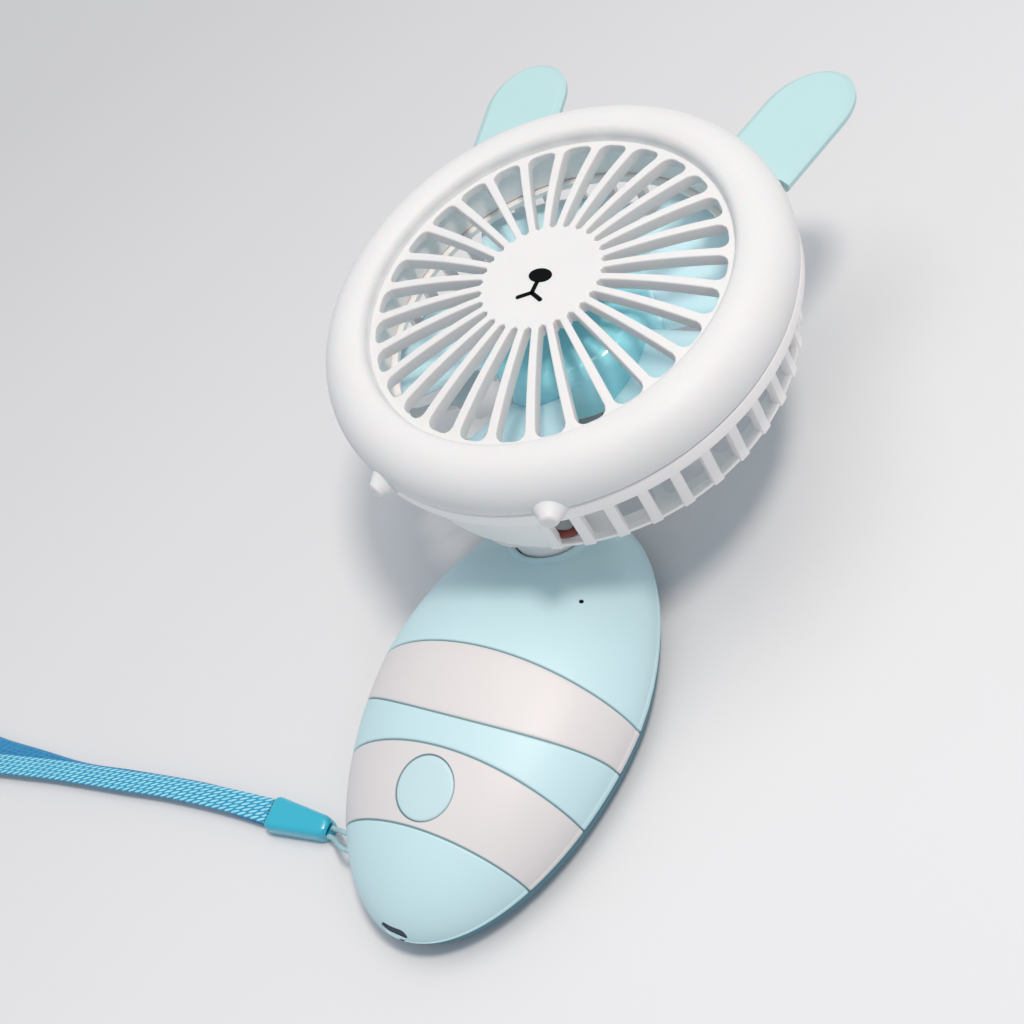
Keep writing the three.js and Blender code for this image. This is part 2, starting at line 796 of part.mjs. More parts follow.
// Rear housing: band, cage of upright ribs, hoop and rear grille with the motor's seat
const makeRearHousing = () => {
  const bandRadius = Math.sqrt(ringTubeRadius ** 2 - (partingZ - ringCoreZ) ** 2) + ringCoreRadius;
  const top = partingZ - gap;
  const bandBottom = partingZ - bandDepth;
  const cageInner = cageRadius - cageWall;
  let housing = turned([
    [bandRadius, top],
    [bandRadius - coverWall, top],
    [bandRadius - coverWall, bandBottom + coverWall],
    [ledgeRadius, bandBottom + coverWall - gap],
    [ledgeRadius, bandBottom + coverWall - gap - ledgeThickness],
    [cageInner, bandBottom + coverWall - gap - ledgeThickness],
    [cageInner, -housingDepth + rearThickness],
    [0, -housingDepth + rearThickness],
    [0, -housingDepth],
    [cageRadius, -housingDepth],
    [cageRadius, bandBottom],
    [bandRadius, bandBottom],
  ], cageRibCount).rotate([0, 0, cageFirstAngle]);
  const pitch = 360 / cageRibCount;
  const windowHalf = (radians(pitch) * cageRadius - cageRibWidth) / 2;
  const window = boxAt(
    cageInner - cageWall, cageRadius + overrun,
    -windowHalf, windowHalf,
    windowBottomZ, windowTopZ,
  );
  for (let i = 0; i < cageRibCount; i += 1) {
    const angle = cageFirstAngle - pitch / 2 + pitch * i;
    if (apart(angle, -90) > cageSolidHalfAngle - pitch / 4) {
      housing = housing.subtract(turnedAbout(window, angle));
    }
  }
  const low = -housingDepth - overrun;
  const high = -housingDepth + rearThickness + overrun;
  const outerSlot = raised(slotOutline(
    rearMidRadius + rearMidWidth / 2, cageInner - rearMidWidth, rearRibWidth, rearRibWidth, rearSlotCount,
    slotCornerRadius,
  ), low, high);
  const innerSlot = raised(slotOutline(
    motorSeatRadius + rearMidWidth, rearMidRadius - rearMidWidth / 2, rearRibWidth, rearRibWidth,
    rearInnerSlotCount, slotCornerRadius,
  ), low, high);
  const strutHalfAngle = THREE.MathUtils.radToDeg(Math.asin(neckFlareRadius / (cageRadius - neckRadius)));
  for (let i = 0; i < rearSlotCount; i += 1) {
    const angle = (360 * i) / rearSlotCount;
    if (apart(angle, -90) > strutHalfAngle + 90 / rearSlotCount) {
      housing = housing.subtract(turnedAbout(outerSlot, angle));
    }
  }
  for (let i = 0; i < rearInnerSlotCount; i += 1) {
    const angle = (360 * i) / rearInnerSlotCount;
    if (apart(angle, -90) > weld) housing = housing.subtract(turnedAbout(innerSlot, angle));
  }
  const seatInner = motorRadius + gap;
  return housing
    .add(turned([
      [seatInner, -housingDepth + rearThickness / 2],
      [seatInner + seatWall, -housingDepth + rearThickness / 2],
      [seatInner + seatWall, -housingDepth + rearThickness + seatHeight],
      [seatInner, -housingDepth + rearThickness + seatHeight],
    ], 2 * coarse))
    .subtract(rodAt(0, hingeY - headY, -housingDepth - overrun, -housingDepth + overrun, neckBore, 12));
};

// An ear: a rounded tab with a chamfered rim, whose root runs into the head behind the ring
const makeEarBlank = (side, grow) => {
  const half = earHalfWidth + grow;
  const outline = [[-half, -earLength], [half, -earLength]];
  for (let i = 0; i <= coarse; i += 1) {
    const angle = (Math.PI * i) / coarse;
    outline.push([half * Math.cos(angle), -earCapLength + (earCapLength + grow) * Math.sin(angle)]);
  }
  const bevel = grow > 0 ? 0 : earChamfer;
  const shape = new THREE.Shape(outline.map(([x, y]) => new THREE.Vector2(x, y)));
  const geometry = new THREE.ExtrudeGeometry(shape, {
    depth: earThickness + 2 * grow - 2 * bevel,
    bevelEnabled: bevel > 0,
    bevelThickness: bevel,
    bevelSize: bevel,
    bevelOffset: -bevel,
    bevelSegments: 1,
  });
  geometry.translate(0, 0, -earThickness - grow + bevel);
  geometry.rotateX(radians(-earLean));
  geometry.rotateZ(-side * radians(earSplay));
  geometry.translate(side * earTipX, earTipY, earTipZ);
  return toSolid(geometry);
};
const makeEar = (side) => makeEarBlank(side, 0)
  .subtract(rodAt(0, 0, -housingDepth, ringTubeRadius, earRootRadius, fine));

// Motor can with its lead, and the rotor with its shaft
const motorBottom = -housingDepth + rearThickness + gap;
const makeMotor = () => rodAt(0, 0, motorBottom, motorBottom + motorHeight, motorRadius, 2 * coarse)
  .subtract(rodAt(0, 0, motorBottom + overrun / 2, motorBottom + motorHeight + overrun,
    shaftRadius + shaftClearance, 12));
const shaftBottom = motorBottom + overrun / 2 + gap;
const shaftTop = rotorHubTop - rotorHubWall - gap;
const makeShaft = () => rodAt(0, 0, shaftBottom, shaftTop, shaftRadius, 12);

const makeBlade = () => {
  const rings = [];
  const inner = rotorHubRadius - rotorHubWall / 2;
  for (let i = 0; i <= bladeSteps; i += 1) {
    const across = i / bladeSteps;
    const radius = inner + (bladeOuterRadius - inner) * across;
    const ring = [];
    const face = (lift) => {
      const points = [];
      for (let j = 0; j <= bladeSteps; j += 1) {
        const turn = j / bladeSteps;
        const angle = radians(bladeTrailAngle + (bladeLeadAngle - bladeTrailAngle) * turn);
        const z = bladeRearZ + (bladeFrontZ - bladeRearZ) * turn + lift;
        points.push(centre(radius * Math.cos(angle), radius * Math.sin(angle), z));
      }
      return points;
    };
    ring.push(...face(-bladeThickness / 2), ...face(bladeThickness / 2).reverse());
    rings.push(ring);
  }
  return toSolid(loft(rings));
};

const makeRotor = () => {
  const skirtBottom = rotorHubTop - rotorHubDepth;
  const outer = [];
  const inner = [];
  for (let i = 0; i <= 3; i += 1) {
    const angle = (Math.PI * i) / 6;
    const out = rotorHubFillet;
    const inn = rotorHubFillet - rotorHubWall;
    const x = rotorHubRadius - rotorHubFillet;
    const z = rotorHubTop - rotorHubFillet;
    outer.push([x + out * Math.sin(angle), z + out * Math.cos(angle)]);
    inner.push([x + inn * Math.sin(angle), z + inn * Math.cos(angle)]);
  }
  const cup = turned([
    [0, rotorHubTop],
    ...outer,
    [rotorHubRadius, skirtBottom],
    [rotorHubRadius - rotorHubWall, skirtBottom],
    ...inner.reverse(),
    [0, rotorHubTop - rotorHubWall],
  ], 2 * coarse);
  let rotor = cup.add(rodAt(0, 0, rotorHubTop - rotorHubWall - rotorBossDepth, rotorHubTop - rotorHubWall / 2,
    rotorBossRadius, 12));
  const blade = makeBlade();
  for (let i = 0; i < bladeCount; i += 1) {
    rotor = rotor.add(turnedAbout(blade, bladeFirstAngle + (360 * i) / bladeCount));
  }
  return rotor.subtract(rodAt(0, 0, skirtBottom, shaftTop + gap, shaftRadius + gap, 12));
};

const makeMotorLead = () => {
  const z = motorBottom + leadRadius + gap;
  const y = hingeY - headY;
  const path = new THREE.CatmullRomCurve3([
    centre(0, -motorRadius - seatWall - 2 * gap - leadRadius, z + leadRadius),
    centre(0, (y - motorRadius) / 2 - leadRadius, z),
    centre(0, y + neckBore + leadRadius, z),
    centre(0, y + leadRadius / 2, z - 2 * leadRadius),
    centre(0, y, -housingDepth - leadRadius),
    centre(0, y, hingeZ + neckRadius + neckBore - headZ),
  ], false, "catmullrom", leadTensionShare);
  return toSolid(tube(path, ringShape(leadRadius, 8), 20));
};

// Strap clamp, narrower where the thin cord leaves it
const makeClamp = () => {
  const half = clampLength / 2;
  const outline = [
    [-half, -clampTailWidth / 2 + clampRound],
    [-half + clampRound, -clampTailWidth / 2],
    [half - 2 * clampRound, -clampNoseWidth / 2 - clampRound / 2],
    [half, -clampNoseWidth / 2 + clampRound],
    [half, clampNoseWidth / 2 - clampRound],
    [half - 2 * clampRound, clampNoseWidth / 2 + clampRound / 2],
    [-half + clampRound, clampTailWidth / 2],
    [-half, clampTailWidth / 2 - clampRound],
  ];
  const shape = new THREE.Shape(outline.map(([x, y]) => new THREE.Vector2(x, y)));
  const geometry = new THREE.ExtrudeGeometry(shape, {
    depth: clampHeight - clampRound,
    bevelThickness: clampRound / 2,
    bevelSize: clampRound / 2,
    bevelOffset: -clampRound / 2,
    bevelSegments: 2,
  });
  geometry.translate(0, 0, -(clampHeight - clampRound) / 2);
  geometry.rotateZ(radians(clampTurn));
  geometry.translate(clampX, clampY, clampZ);
  return toSolid(geometry);
};

const braidShape = new THREE.Shape([
  [-braidHalfThickness, -braidHalfWidth * braidFaceShare],
  [-braidHalfThickness / 2, -braidHalfWidth],
  [braidHalfThickness / 2, -braidHalfWidth],
  [braidHalfThickness, -braidHalfWidth * braidFaceShare],
  [braidHalfThickness, braidHalfWidth * braidFaceShare],
  [braidHalfThickness / 2, braidHalfWidth],
  [-braidHalfThickness / 2, braidHalfWidth],
  [-braidHalfThickness, braidHalfWidth * braidFaceShare],
].map(([x, y]) => new THREE.Vector2(x, y)));

const paint = (color, roughness, metalness = 0) => new THREE.MeshStandardMaterial({
  color, roughness, metalness,
});
const lightBlue = paint(0xc5e5e8, 0.45);
const warmWhite = paint(0xe8e4e5, 0.45);
const headWhite = paint(0xececec, 0.4);
const darkTeal = paint(0x2f5f6b, 0.5);
const bladeCyan = paint(0xc4e6ec, 0.3);
const clampBlue = paint(0x40b5d5, 0.3);
const braidBlue = paint(0x2494cd, 0.9);
const paleCord = paint(0xd5e6ea, 0.8);
const steel = paint(0xb9bcc0, 0.35, 1);
const boardGreen = paint(0x2f6b4f, 0.6);
const black = paint(0x1c1d20, 0.5);
const silverFoil = paint(0xa9adb2, 0.4, 0.8);
const redWire = paint(0x9a4a3a, 0.5);

const part = (name, solid, material) => {
  const mesh = new THREE.Mesh(solid.isBufferGeometry ? solid : toGeometry(solid), material);
  mesh.name = name;
  return mesh;
};

const handle = new THREE.Group();
handle.add(
  part("top_shell", makeTopShell(), lightBlue),
  part("upper_white_band", makeUpperBand(), warmWhite),
  part("middle_blue_band", makeMiddleBand(), lightBlue),
  part("lower_white_band", makeLowerBand(), warmWhite),
  part("tip_shell", makeTipShell(), lightBlue),
  part("back_shell", makeBackShell(), darkTeal),
  part("button_cap", makeButton(), lightBlue),
  part("indicator_light", makeLight(), black),
  part("circuit_board", makeBoard(), boardGreen),
  part("tact_switch", makeSwitch(), black),
  part("usb_socket", makeUsbSocket(), steel),
  part("battery", makeBattery(), silverFoil),
  part("hinge_bracket", makeHingeBracket(), steel),
  part("hinge_pin", makeHingePin(), steel),
  part("hinge_washer_left", makeWasher(-1), steel),
  part("hinge_washer_right", makeWasher(1), steel),
  part("strap_cord", tube(strapCordPath, ringShape(strapCordRadius, 8), strapCordSteps), paleCord),
  part("strap_clamp", makeClamp(), clampBlue),
  part("strap_braid", tube(braidPath, braidShape, braidSteps), braidBlue),
);
screwPlaces.forEach((place, i) => {
  handle.add(part(`handle_screw_${i + 1}`, makeScrew(place), steel));
});

const leftBlank = makeEarBlank(-1, gap);
const rightBlank = makeEarBlank(1, gap);
const head = new THREE.Group();
head.position.set(0, headY, headZ);
head.add(
  part("front_cover", makeFrontCover().subtract(leftBlank).subtract(rightBlank), headWhite),
  part("rear_housing", makeRearHousing().subtract(leftBlank).subtract(rightBlank), headWhite),
  part("ear_left", makeEar(-1), lightBlue),
  part("ear_right", makeEar(1), lightBlue),
  part("motor", makeMotor(), steel),
  part("motor_shaft", makeShaft(), steel),
  part("rotor", makeRotor(), bladeCyan),
  part("motor_lead", makeMotorLead(), redWire),
);

const group = new THREE.Group();
group.add(handle, head, part("neck_post", makeNeckPost(), headWhite));

export default group;
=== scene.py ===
"""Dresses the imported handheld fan: finer shells, braided strap, printed face, finishes, floor and camera.

Every length is in metres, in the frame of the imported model: X across the handle, Y along it toward the
head, +Z up from the table.
"""
from __future__ import annotations

import logging
import math
from collections.abc import Callable, Iterable, Mapping, Sequence
from dataclasses import dataclass, field
from enum import Enum

import bmesh
import bpy
from mathutils import Matrix, Vector


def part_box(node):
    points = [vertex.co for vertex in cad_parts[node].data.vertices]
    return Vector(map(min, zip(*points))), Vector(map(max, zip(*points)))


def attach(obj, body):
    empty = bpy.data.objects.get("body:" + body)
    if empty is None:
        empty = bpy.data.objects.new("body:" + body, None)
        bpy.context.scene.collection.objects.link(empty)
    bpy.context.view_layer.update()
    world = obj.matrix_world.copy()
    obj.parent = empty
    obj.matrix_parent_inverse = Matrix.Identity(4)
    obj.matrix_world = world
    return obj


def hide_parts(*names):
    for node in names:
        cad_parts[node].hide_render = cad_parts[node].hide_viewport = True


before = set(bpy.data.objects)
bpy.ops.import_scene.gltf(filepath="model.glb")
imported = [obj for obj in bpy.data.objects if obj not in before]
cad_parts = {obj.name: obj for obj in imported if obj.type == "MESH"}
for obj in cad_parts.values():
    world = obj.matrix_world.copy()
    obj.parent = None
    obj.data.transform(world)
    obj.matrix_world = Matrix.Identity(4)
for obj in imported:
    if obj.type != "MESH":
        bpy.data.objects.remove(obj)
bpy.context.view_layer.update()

log = logging.getLogger("handheld_fan")

MM = 0.001
HEAD_CENTRE = Vector((0.0, 74.2 * MM, 60.5 * MM))
HINGE = Vector((0.0, 38.0 * MM, 14.3 * MM))
UP = Vector((0.0, 0.0, 1.0))
Colour = tuple[float, float, float, float]
Place = Sequence[float]
Outline = list[tuple[float, float]]


class Body(Enum):
    """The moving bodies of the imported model."""

    HANDLE = "handle"
    HEAD = "head"
    ROTOR = "rotor"
    BUTTON = "button"


class Sum(Enum):
    """The sums that a finish may ask of a Math node."""

    ADD = "ADD"
    SUBTRACT = "SUBTRACT"
    MULTIPLY = "MULTIPLY"
    DIVIDE = "DIVIDE"
    FLOOR = "FLOOR"
    FRACTION = "FRACT"
    SINE = "SINE"
    LEAST = "MINIMUM"
    MOST = "MAXIMUM"


def linear(red: int, green: int, blue: int) -> Colour:
    """Turns a colour as a screen shows it into a linear one.

    Args:
        red: Red from 0 to 255.
        green: Green from 0 to 255.
        blue: Blue from 0 to 255.

    Returns:
        The linear colour with full opacity.
    """
    knee, foot, slope, lift, power = 0.04045, 12.92, 1.055, 0.055, 2.4

    def channel(level: int) -> float:
        """Turns one screen level into light."""
        share = level / 255
        return share / foot if share <= knee else ((share + lift) / slope) ** power

    return channel(red), channel(green), channel(blue), 1.0


def dimmed(colour: Colour, share: float) -> Colour:
    """Scales the light of a colour by a share."""
    return colour[0] * share, colour[1] * share, colour[2] * share, 1.0


# Node graph


@dataclass(frozen=True)
class Wire:
    """An output socket of a finish's graph, which can be written in sums."""

    graph: Graph
    socket: bpy.types.NodeSocket

    def __add__(self, other: Term) -> Wire:
        """Adds a value."""
        return self.graph.sum(Sum.ADD, self, other)

    def __radd__(self, other: Term) -> Wire:
        """Is added to a value."""
        return self.graph.sum(Sum.ADD, other, self)

    def __sub__(self, other: Term) -> Wire:
        """Takes a value away."""
        return self.graph.sum(Sum.SUBTRACT, self, other)

    def __rsub__(self, other: Term) -> Wire:
        """Is taken from a value."""
        return self.graph.sum(Sum.SUBTRACT, other, self)

    def __mul__(self, other: Term) -> Wire:
        """Multiplies by a value."""
        return self.graph.sum(Sum.MULTIPLY, self, other)

    def __rmul__(self, other: Term) -> Wire:
        """Multiplies a value."""
        return self.graph.sum(Sum.MULTIPLY, other, self)

    def __truediv__(self, other: Term) -> Wire:
        """Divides by a value."""
        return self.graph.sum(Sum.DIVIDE, self, other)

    def __rtruediv__(self, other: Term) -> Wire:
        """Divides a value."""
        return self.graph.sum(Sum.DIVIDE, other, self)

    def floor(self) -> Wire:
        """Rounds down."""
        return self.graph.sum(Sum.FLOOR, self)

    def fraction(self) -> Wire:
        """Keeps what is behind the point."""
        return self.graph.sum(Sum.FRACTION, self)

    def sine(self) -> Wire:
        """Takes the sine."""
        return self.graph.sum(Sum.SINE, self)

    def below(self, edge: float, soft: float) -> Wire:
        """Masks with 1 where the value is below an edge and 0 where it is above, with a soft change."""
        ramp = (edge - self) / soft + 0.5
        return self.graph.sum(Sum.MOST, self.graph.sum(Sum.LEAST, ramp, 1.0), 0.0)


Term = Wire | float | Colour | Vector


class Graph:
    """The node tree of one material."""

    def __init__(self, name: str) -> None:
        """Starts a material with an empty tree.

        Args:
            name: The material's name.
        """
        self.material = bpy.data.materials.new(name)
        self.material.use_nodes = True
        self.tree = self.material.node_tree
        self.tree.nodes.clear()

    @staticmethod
    def socket(sockets: bpy.types.bpy_prop_collection, key: str) -> bpy.types.NodeSocket:
        """Finds a socket by its identifier, or else by its name."""
        for found in sockets:
            if found.identifier == key:
                return found
        return sockets[key]

    def feed(self, target: bpy.types.NodeSocket, term: Term) -> None:
        """Links a wire to a socket, or sets the socket to a value.

        Args:
            target: The socket.
            term: The wire or the value.
        """
        if isinstance(term, Wire):
            self.tree.links.new(term.socket, target)
        else:
            target.default_value = term

    def node(self, kind: str, inputs: Mapping[str, Term] | None = None, **settings: object) -> bpy.types.Node:
        """Adds a node of any kind.

        Args:
            kind: The node's type, without its common first word.
            inputs: Values or wires of its sockets.
            settings: What is set on the node itself.

        Returns:
            The node.
        """
        node = self.tree.nodes.new("ShaderNode" + kind)
        for key, value in settings.items():
            setattr(node, key, value)
        for key, term in (inputs or {}).items():
            self.feed(self.socket(node.inputs, key), term)
        return node

    def wire(self, node: bpy.types.Node, output: str) -> Wire:
        """Takes a node's output."""
        return Wire(self, self.socket(node.outputs, output))

    def sum(self, operation: Sum, *terms: Term) -> Wire:
        """Adds a Math node.

        Args:
            operation: The sum.
            terms: One or two terms, wires or numbers.

        Returns:
            The result.
        """
        node = self.tree.nodes.new("ShaderNodeMath")
        node.operation = operation.value
        for target, term in zip(node.inputs, terms):
            self.feed(target, term)
        return Wire(self, node.outputs[0])

    def mix(self, share: Term, first: Term, second: Term) -> Wire:
        """Mixes two colours.

        Args:
            share: How much of the second is taken.
            first: The colour at share 0.
            second: The colour at share 1.

        Returns:
            The mixed colour.
        """
        node = self.node(
            "Mix", {"Factor_Float": share, "A_Color": first, "B_Color": second}, data_type="RGBA"
        )
        return self.wire(node, "Result_Color")

    def place(self) -> Wire:
        """Takes the place on the piece, in metres."""
        return self.wire(self.node("TexCoord"), "Object")

    def noise(self, scale: float, detail: float = 2.0) -> Wire:
        """Adds cloudy noise of so many clouds per metre."""
        node = self.node("TexNoise", {"Vector": self.place(), "Scale": scale, "Detail": detail})
        return self.wire(node, "Fac")

    def close(self, shader: bpy.types.Node, output: str = "BSDF") -> bpy.types.Material:
        """Links the last shader to the surface and hands over the material."""
        self.node("OutputMaterial", {"Surface": self.wire(shader, output)})
        return self.material


# Finishes


@dataclass(frozen=True)
class Moulded:
    """A moulded plastic: an even colour with a faint cloud, and a fine grain."""

    name: str
    colour: Colour
    roughness: float = 0.42
    roughness_spread: float = 0.08
    cloud_scale: float = 70.0
    cloud_share: float = 0.025
    grain_scale: float = 3200.0
    grain_depth: float = 0.012 * MM
    grain_strength: float = 0.25
    coat: float = 0.0
    coat_roughness: float = 0.08
    glow_share: float = 0.0
    glow_depth: float = 2.0 * MM
    shine: float = 0.5

    def make(self) -> bpy.types.Material:
        """Builds the material."""
        graph = Graph(self.name)
        grain = graph.noise(self.grain_scale, detail=3.0)
        darker, lighter = (dimmed(self.colour, 1 + side * self.cloud_share) for side in (-1, 1))
        bump = graph.node("Bump", {
            "Strength": self.grain_strength, "Distance": self.grain_depth, "Height": grain,
        })
        shader = graph.node("BsdfPrincipled", {
            "Base Color": graph.mix(graph.noise(self.cloud_scale), darker, lighter),
            "Roughness": grain * self.roughness_spread + (self.roughness - self.roughness_spread / 2),
            "Normal": graph.wire(bump, "Normal"),
            "Specular IOR Level": self.shine,
            "Coat Weight": self.coat,
            "Coat Roughness": self.coat_roughness,
            "Subsurface Weight": self.glow_share,
            "Subsurface Scale": self.glow_depth,
        })
        return graph.close(shader)


@dataclass(frozen=True)
class Metal:
    """A bare metal with fine drawn lines."""

    name: str
    colour: Colour
    roughness: float = 0.34
    roughness_spread: float = 0.12
    darkest: float = 0.9
    grain_scale: float = 900.0
    grain_depth: float = 0.01 * MM
    grain_strength: float = 0.2

    def make(self) -> bpy.types.Material:
        """Builds the material."""
        graph = Graph(self.name)
        grain = graph.noise(self.grain_scale, detail=4.0)
        bump = graph.node("Bump", {
            "Strength": self.grain_strength, "Distance": self.grain_depth, "Height": grain,
        })
        shader = graph.node("BsdfPrincipled", {
            "Base Color": graph.mix(grain, dimmed(self.colour, self.darkest), self.colour),
            "Metallic": 1.0,
            "Roughness": grain * self.roughness_spread + (self.roughness - self.roughness_spread / 2),
            "Normal": graph.wire(bump, "Normal"),
        })
        return graph.close(shader)


@dataclass(frozen=True)
class Braided:
    """The strap's braid: slanted rows of pale flecks on blue, with painted shade on the strand that runs back
    under the first, which is a darker blue with few flecks.
    """

    name: str
    blue: Colour
    deep: Colour
    fleck: Colour
    rows: int = 5
    pitch: float = 1.9 * MM
    slant: float = -1.1
    unshaded_length: float = 152.0 * MM
    fade_length: float = 7.6 * MM
    bead_pulls: tuple[float, float] = (8.0, 3.2)
    bead_edge: float = 0.66
    bead_softness: float = 0.4
    thread_pulls: tuple[float, float] = (28.0, 9.0)
    shaded_strand_fleck_share: float = 0.12
    wear_scale: float = 260.0
    mottle_scale: float = 1500.0
    relief: float = 0.2 * MM
    relief_strength: float = 0.6
    roughness: float = 0.72
    sheen: float = 0.2

    def make(self) -> bpy.types.Material:
        """Builds the material. The braid's own map holds the length along it and the share across it."""
        graph = Graph(self.name)
        split = graph.node("SeparateXYZ", {"Vector": graph.wire(graph.node("TexCoord"), "UV")})
        along = graph.wire(split, "X") / self.pitch
        # front is 1 along the first strand and falls to 0 on the strand that runs back under it, which gets
        # painted shade
        front = graph.wire(split, "X").below(self.unshaded_length, self.fade_length)
        across = graph.wire(split, "Y") * float(self.rows)
        inside = across.fraction() - 0.5
        step = (along + across.floor() * 0.5 + inside * self.slant).fraction() - 0.5
        bead = step * step * self.bead_pulls[0] + inside * inside * self.bead_pulls[1]
        bead = bead.below(self.bead_edge, self.bead_softness)
        thread = (step * self.thread_pulls[0] + inside * self.thread_pulls[1]).sine() * 0.5 + 0.5
        worn = graph.noise(self.wear_scale, detail=3.0) * 0.5 + 0.7
        # painted shade: the flecks dim where front is 0
        pale = bead * worn * (thread * 0.2 + 0.8) * (front * (1 - self.shaded_strand_fleck_share) + self.shaded_strand_fleck_share)
        # painted shade: the ground leans to the darker blue where front is 0; elsewhere the cloud mixes the
        # two blues
        ground = graph.mix(graph.noise(self.mottle_scale) * 0.7 + front * 0.3, self.deep, self.blue)
        bump = graph.node("Bump", {
            "Strength": self.relief_strength, "Distance": self.relief, "Height": bead * 0.6 + thread * 0.4,
        })
        shader = graph.node("BsdfPrincipled", {
            "Base Color": graph.mix(pale, ground, self.fleck),
            "Roughness": self.roughness,
            "Sheen Weight": self.sheen,
            "Normal": graph.wire(bump, "Normal"),
        })
        return graph.close(shader)


@dataclass(frozen=True)
class Paper:
    """The plain floor, with painted shade that makes it a little darker toward the far left, as in the
    photograph.
    """

    name: str
    colour: Colour
    rise: float = 0.9
    edge: float = 0.17
    spread: float = 0.5
    darkest: float = 0.78
    roughness: float = 0.9
    shine: float = 0.1

    def make(self) -> bpy.types.Material:
        """Builds the material."""
        graph = Graph(self.name)
        split = graph.node("SeparateXYZ", {"Vector": graph.place()})
        toward_left = graph.wire(split, "Y") * self.rise - graph.wire(split, "X")
        # painted shade: the floor's colour darkens toward the far left, down to darkest times its own colour
        shade = 1.0 - toward_left.below(self.edge, self.spread)
        shader = graph.node("BsdfPrincipled", {
            "Base Color": graph.mix(shade, self.colour, dimmed(self.colour, self.darkest)),
            "Roughness": self.roughness,
            "Specular IOR Level": self.shine,
        })
        return graph.close(shader)


LIGHT_BLUE = Moulded("light_blue_shell", linear(197, 226, 231), 0.46)
WARM_WHITE = Moulded("warm_white_shell", linear(221, 216, 215), 0.46)
BUTTON_BLUE = Moulded("button_blue", linear(197, 222, 226), 0.4)
# teal of the back shell, made darker as painted shade for the shade under the handle's edge
SHADED_BACK_TEAL = Moulded("back_teal", linear(64, 122, 138), 0.5)
GROOVE_TEAL = Moulded("groove_teal", linear(112, 146, 152), 0.6)
HEAD_WHITE = Moulded("head_white", linear(228, 227, 226), 0.5, glow_share=0.3, shine=0.3)
HOUSING_WHITE = Moulded("housing_white", linear(251, 246, 243), 0.4)
EAR_BLUE = Moulded("ear_blue", linear(184, 217, 217), 0.46)
BLADE_CYAN = Moulded("blade_cyan", linear(202, 238, 250), 0.25, glow_share=0.6)
HUB_TEAL = Moulded("rotor_hub_teal", linear(162, 236, 248), 0.16, coat=0.6, glow_share=0.3)
CLAMP_BLUE = Moulded("clamp_blue", linear(52, 178, 204), 0.24, coat=0.4, glow_share=0.1)
CORD_PALE = Moulded("cord_pale", linear(160, 194, 200), 0.5, grain_scale=5200.0, grain_depth=0.06 * MM)
PRINT_BLACK = Moulded("print_black", linear(12, 12, 13), 0.6, shine=0.06)
PORT_NAVY = Moulded("port_navy", linear(16, 34, 62), 0.4, shine=0.2)
SOCKET_BLACK = Moulded("socket_black", linear(28, 30, 34), 0.45)
BOARD_GREEN = Moulded("board_green", linear(46, 106, 78), 0.4)
LEAD_RED = Moulded("lead_red", linear(132, 62, 54), 0.45)
STEEL = Metal("steel", linear(196, 198, 202))
MOTOR_CAN = Metal("motor_can", linear(186, 188, 192), 0.4)
FOIL = Metal("battery_foil", linear(176, 180, 184), 0.45)
# the braid's returning strand gets painted shade
BRAID_BLUE = Braided("braid_blue", linear(0, 172, 208), linear(0, 94, 170), linear(172, 236, 244))
# the floor's finish carries painted shade toward the far left
FLOOR_PAPER = Paper("floor_paper", linear(226, 226, 227))


class Palette:
    """Makes each finish once and puts it on pieces."""

    def __init__(self) -> None:
        """Starts with no material made."""
        self.made: dict[str, bpy.types.Material] = {}

    def dress(self, piece: bpy.types.Object, finish: Moulded | Metal | Braided | Paper) -> None:
        """Gives a piece one finish.

        Args:
            piece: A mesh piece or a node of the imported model.
            finish: The finish.
        """
        if finish.name not in self.made:
            self.made[finish.name] = finish.make()
        if not piece.material_slots:
            piece.data.materials.append(None)
        for slot in piece.material_slots:
            slot.material = self.made[finish.name]


PALETTE = Palette()


# Meshes


def arc(centre: Place, radius: float, start: float, end: float, steps: int) -> Outline:
    """Lists the points of an arc from one angle to another, its two ends among them."""
    turns = [start + (end - start) * i / steps for i in range(steps + 1)]
    return [(centre[0] + radius * math.cos(turn), centre[1] + radius * math.sin(turn)) for turn in turns]


def circle(
    radius: float, sides: int, height: float, centre: Place = (0.0, 0.0), start: float = 0.0
) -> list[tuple[float, float, float]]:
    """Lists the points of a level circle."""
    return [(x, y, height) for x, y in arc(centre, radius, start, start + 2 * math.pi, sides)[:-1]]


def smooth(mesh: bpy.types.Mesh, sharp_degrees: float) -> None:
    """Shades a mesh smooth, but for edges that turn more than some degrees."""
    mesh.shade_smooth()
    mesh.set_sharp_from_angle(angle=math.radians(sharp_degrees))


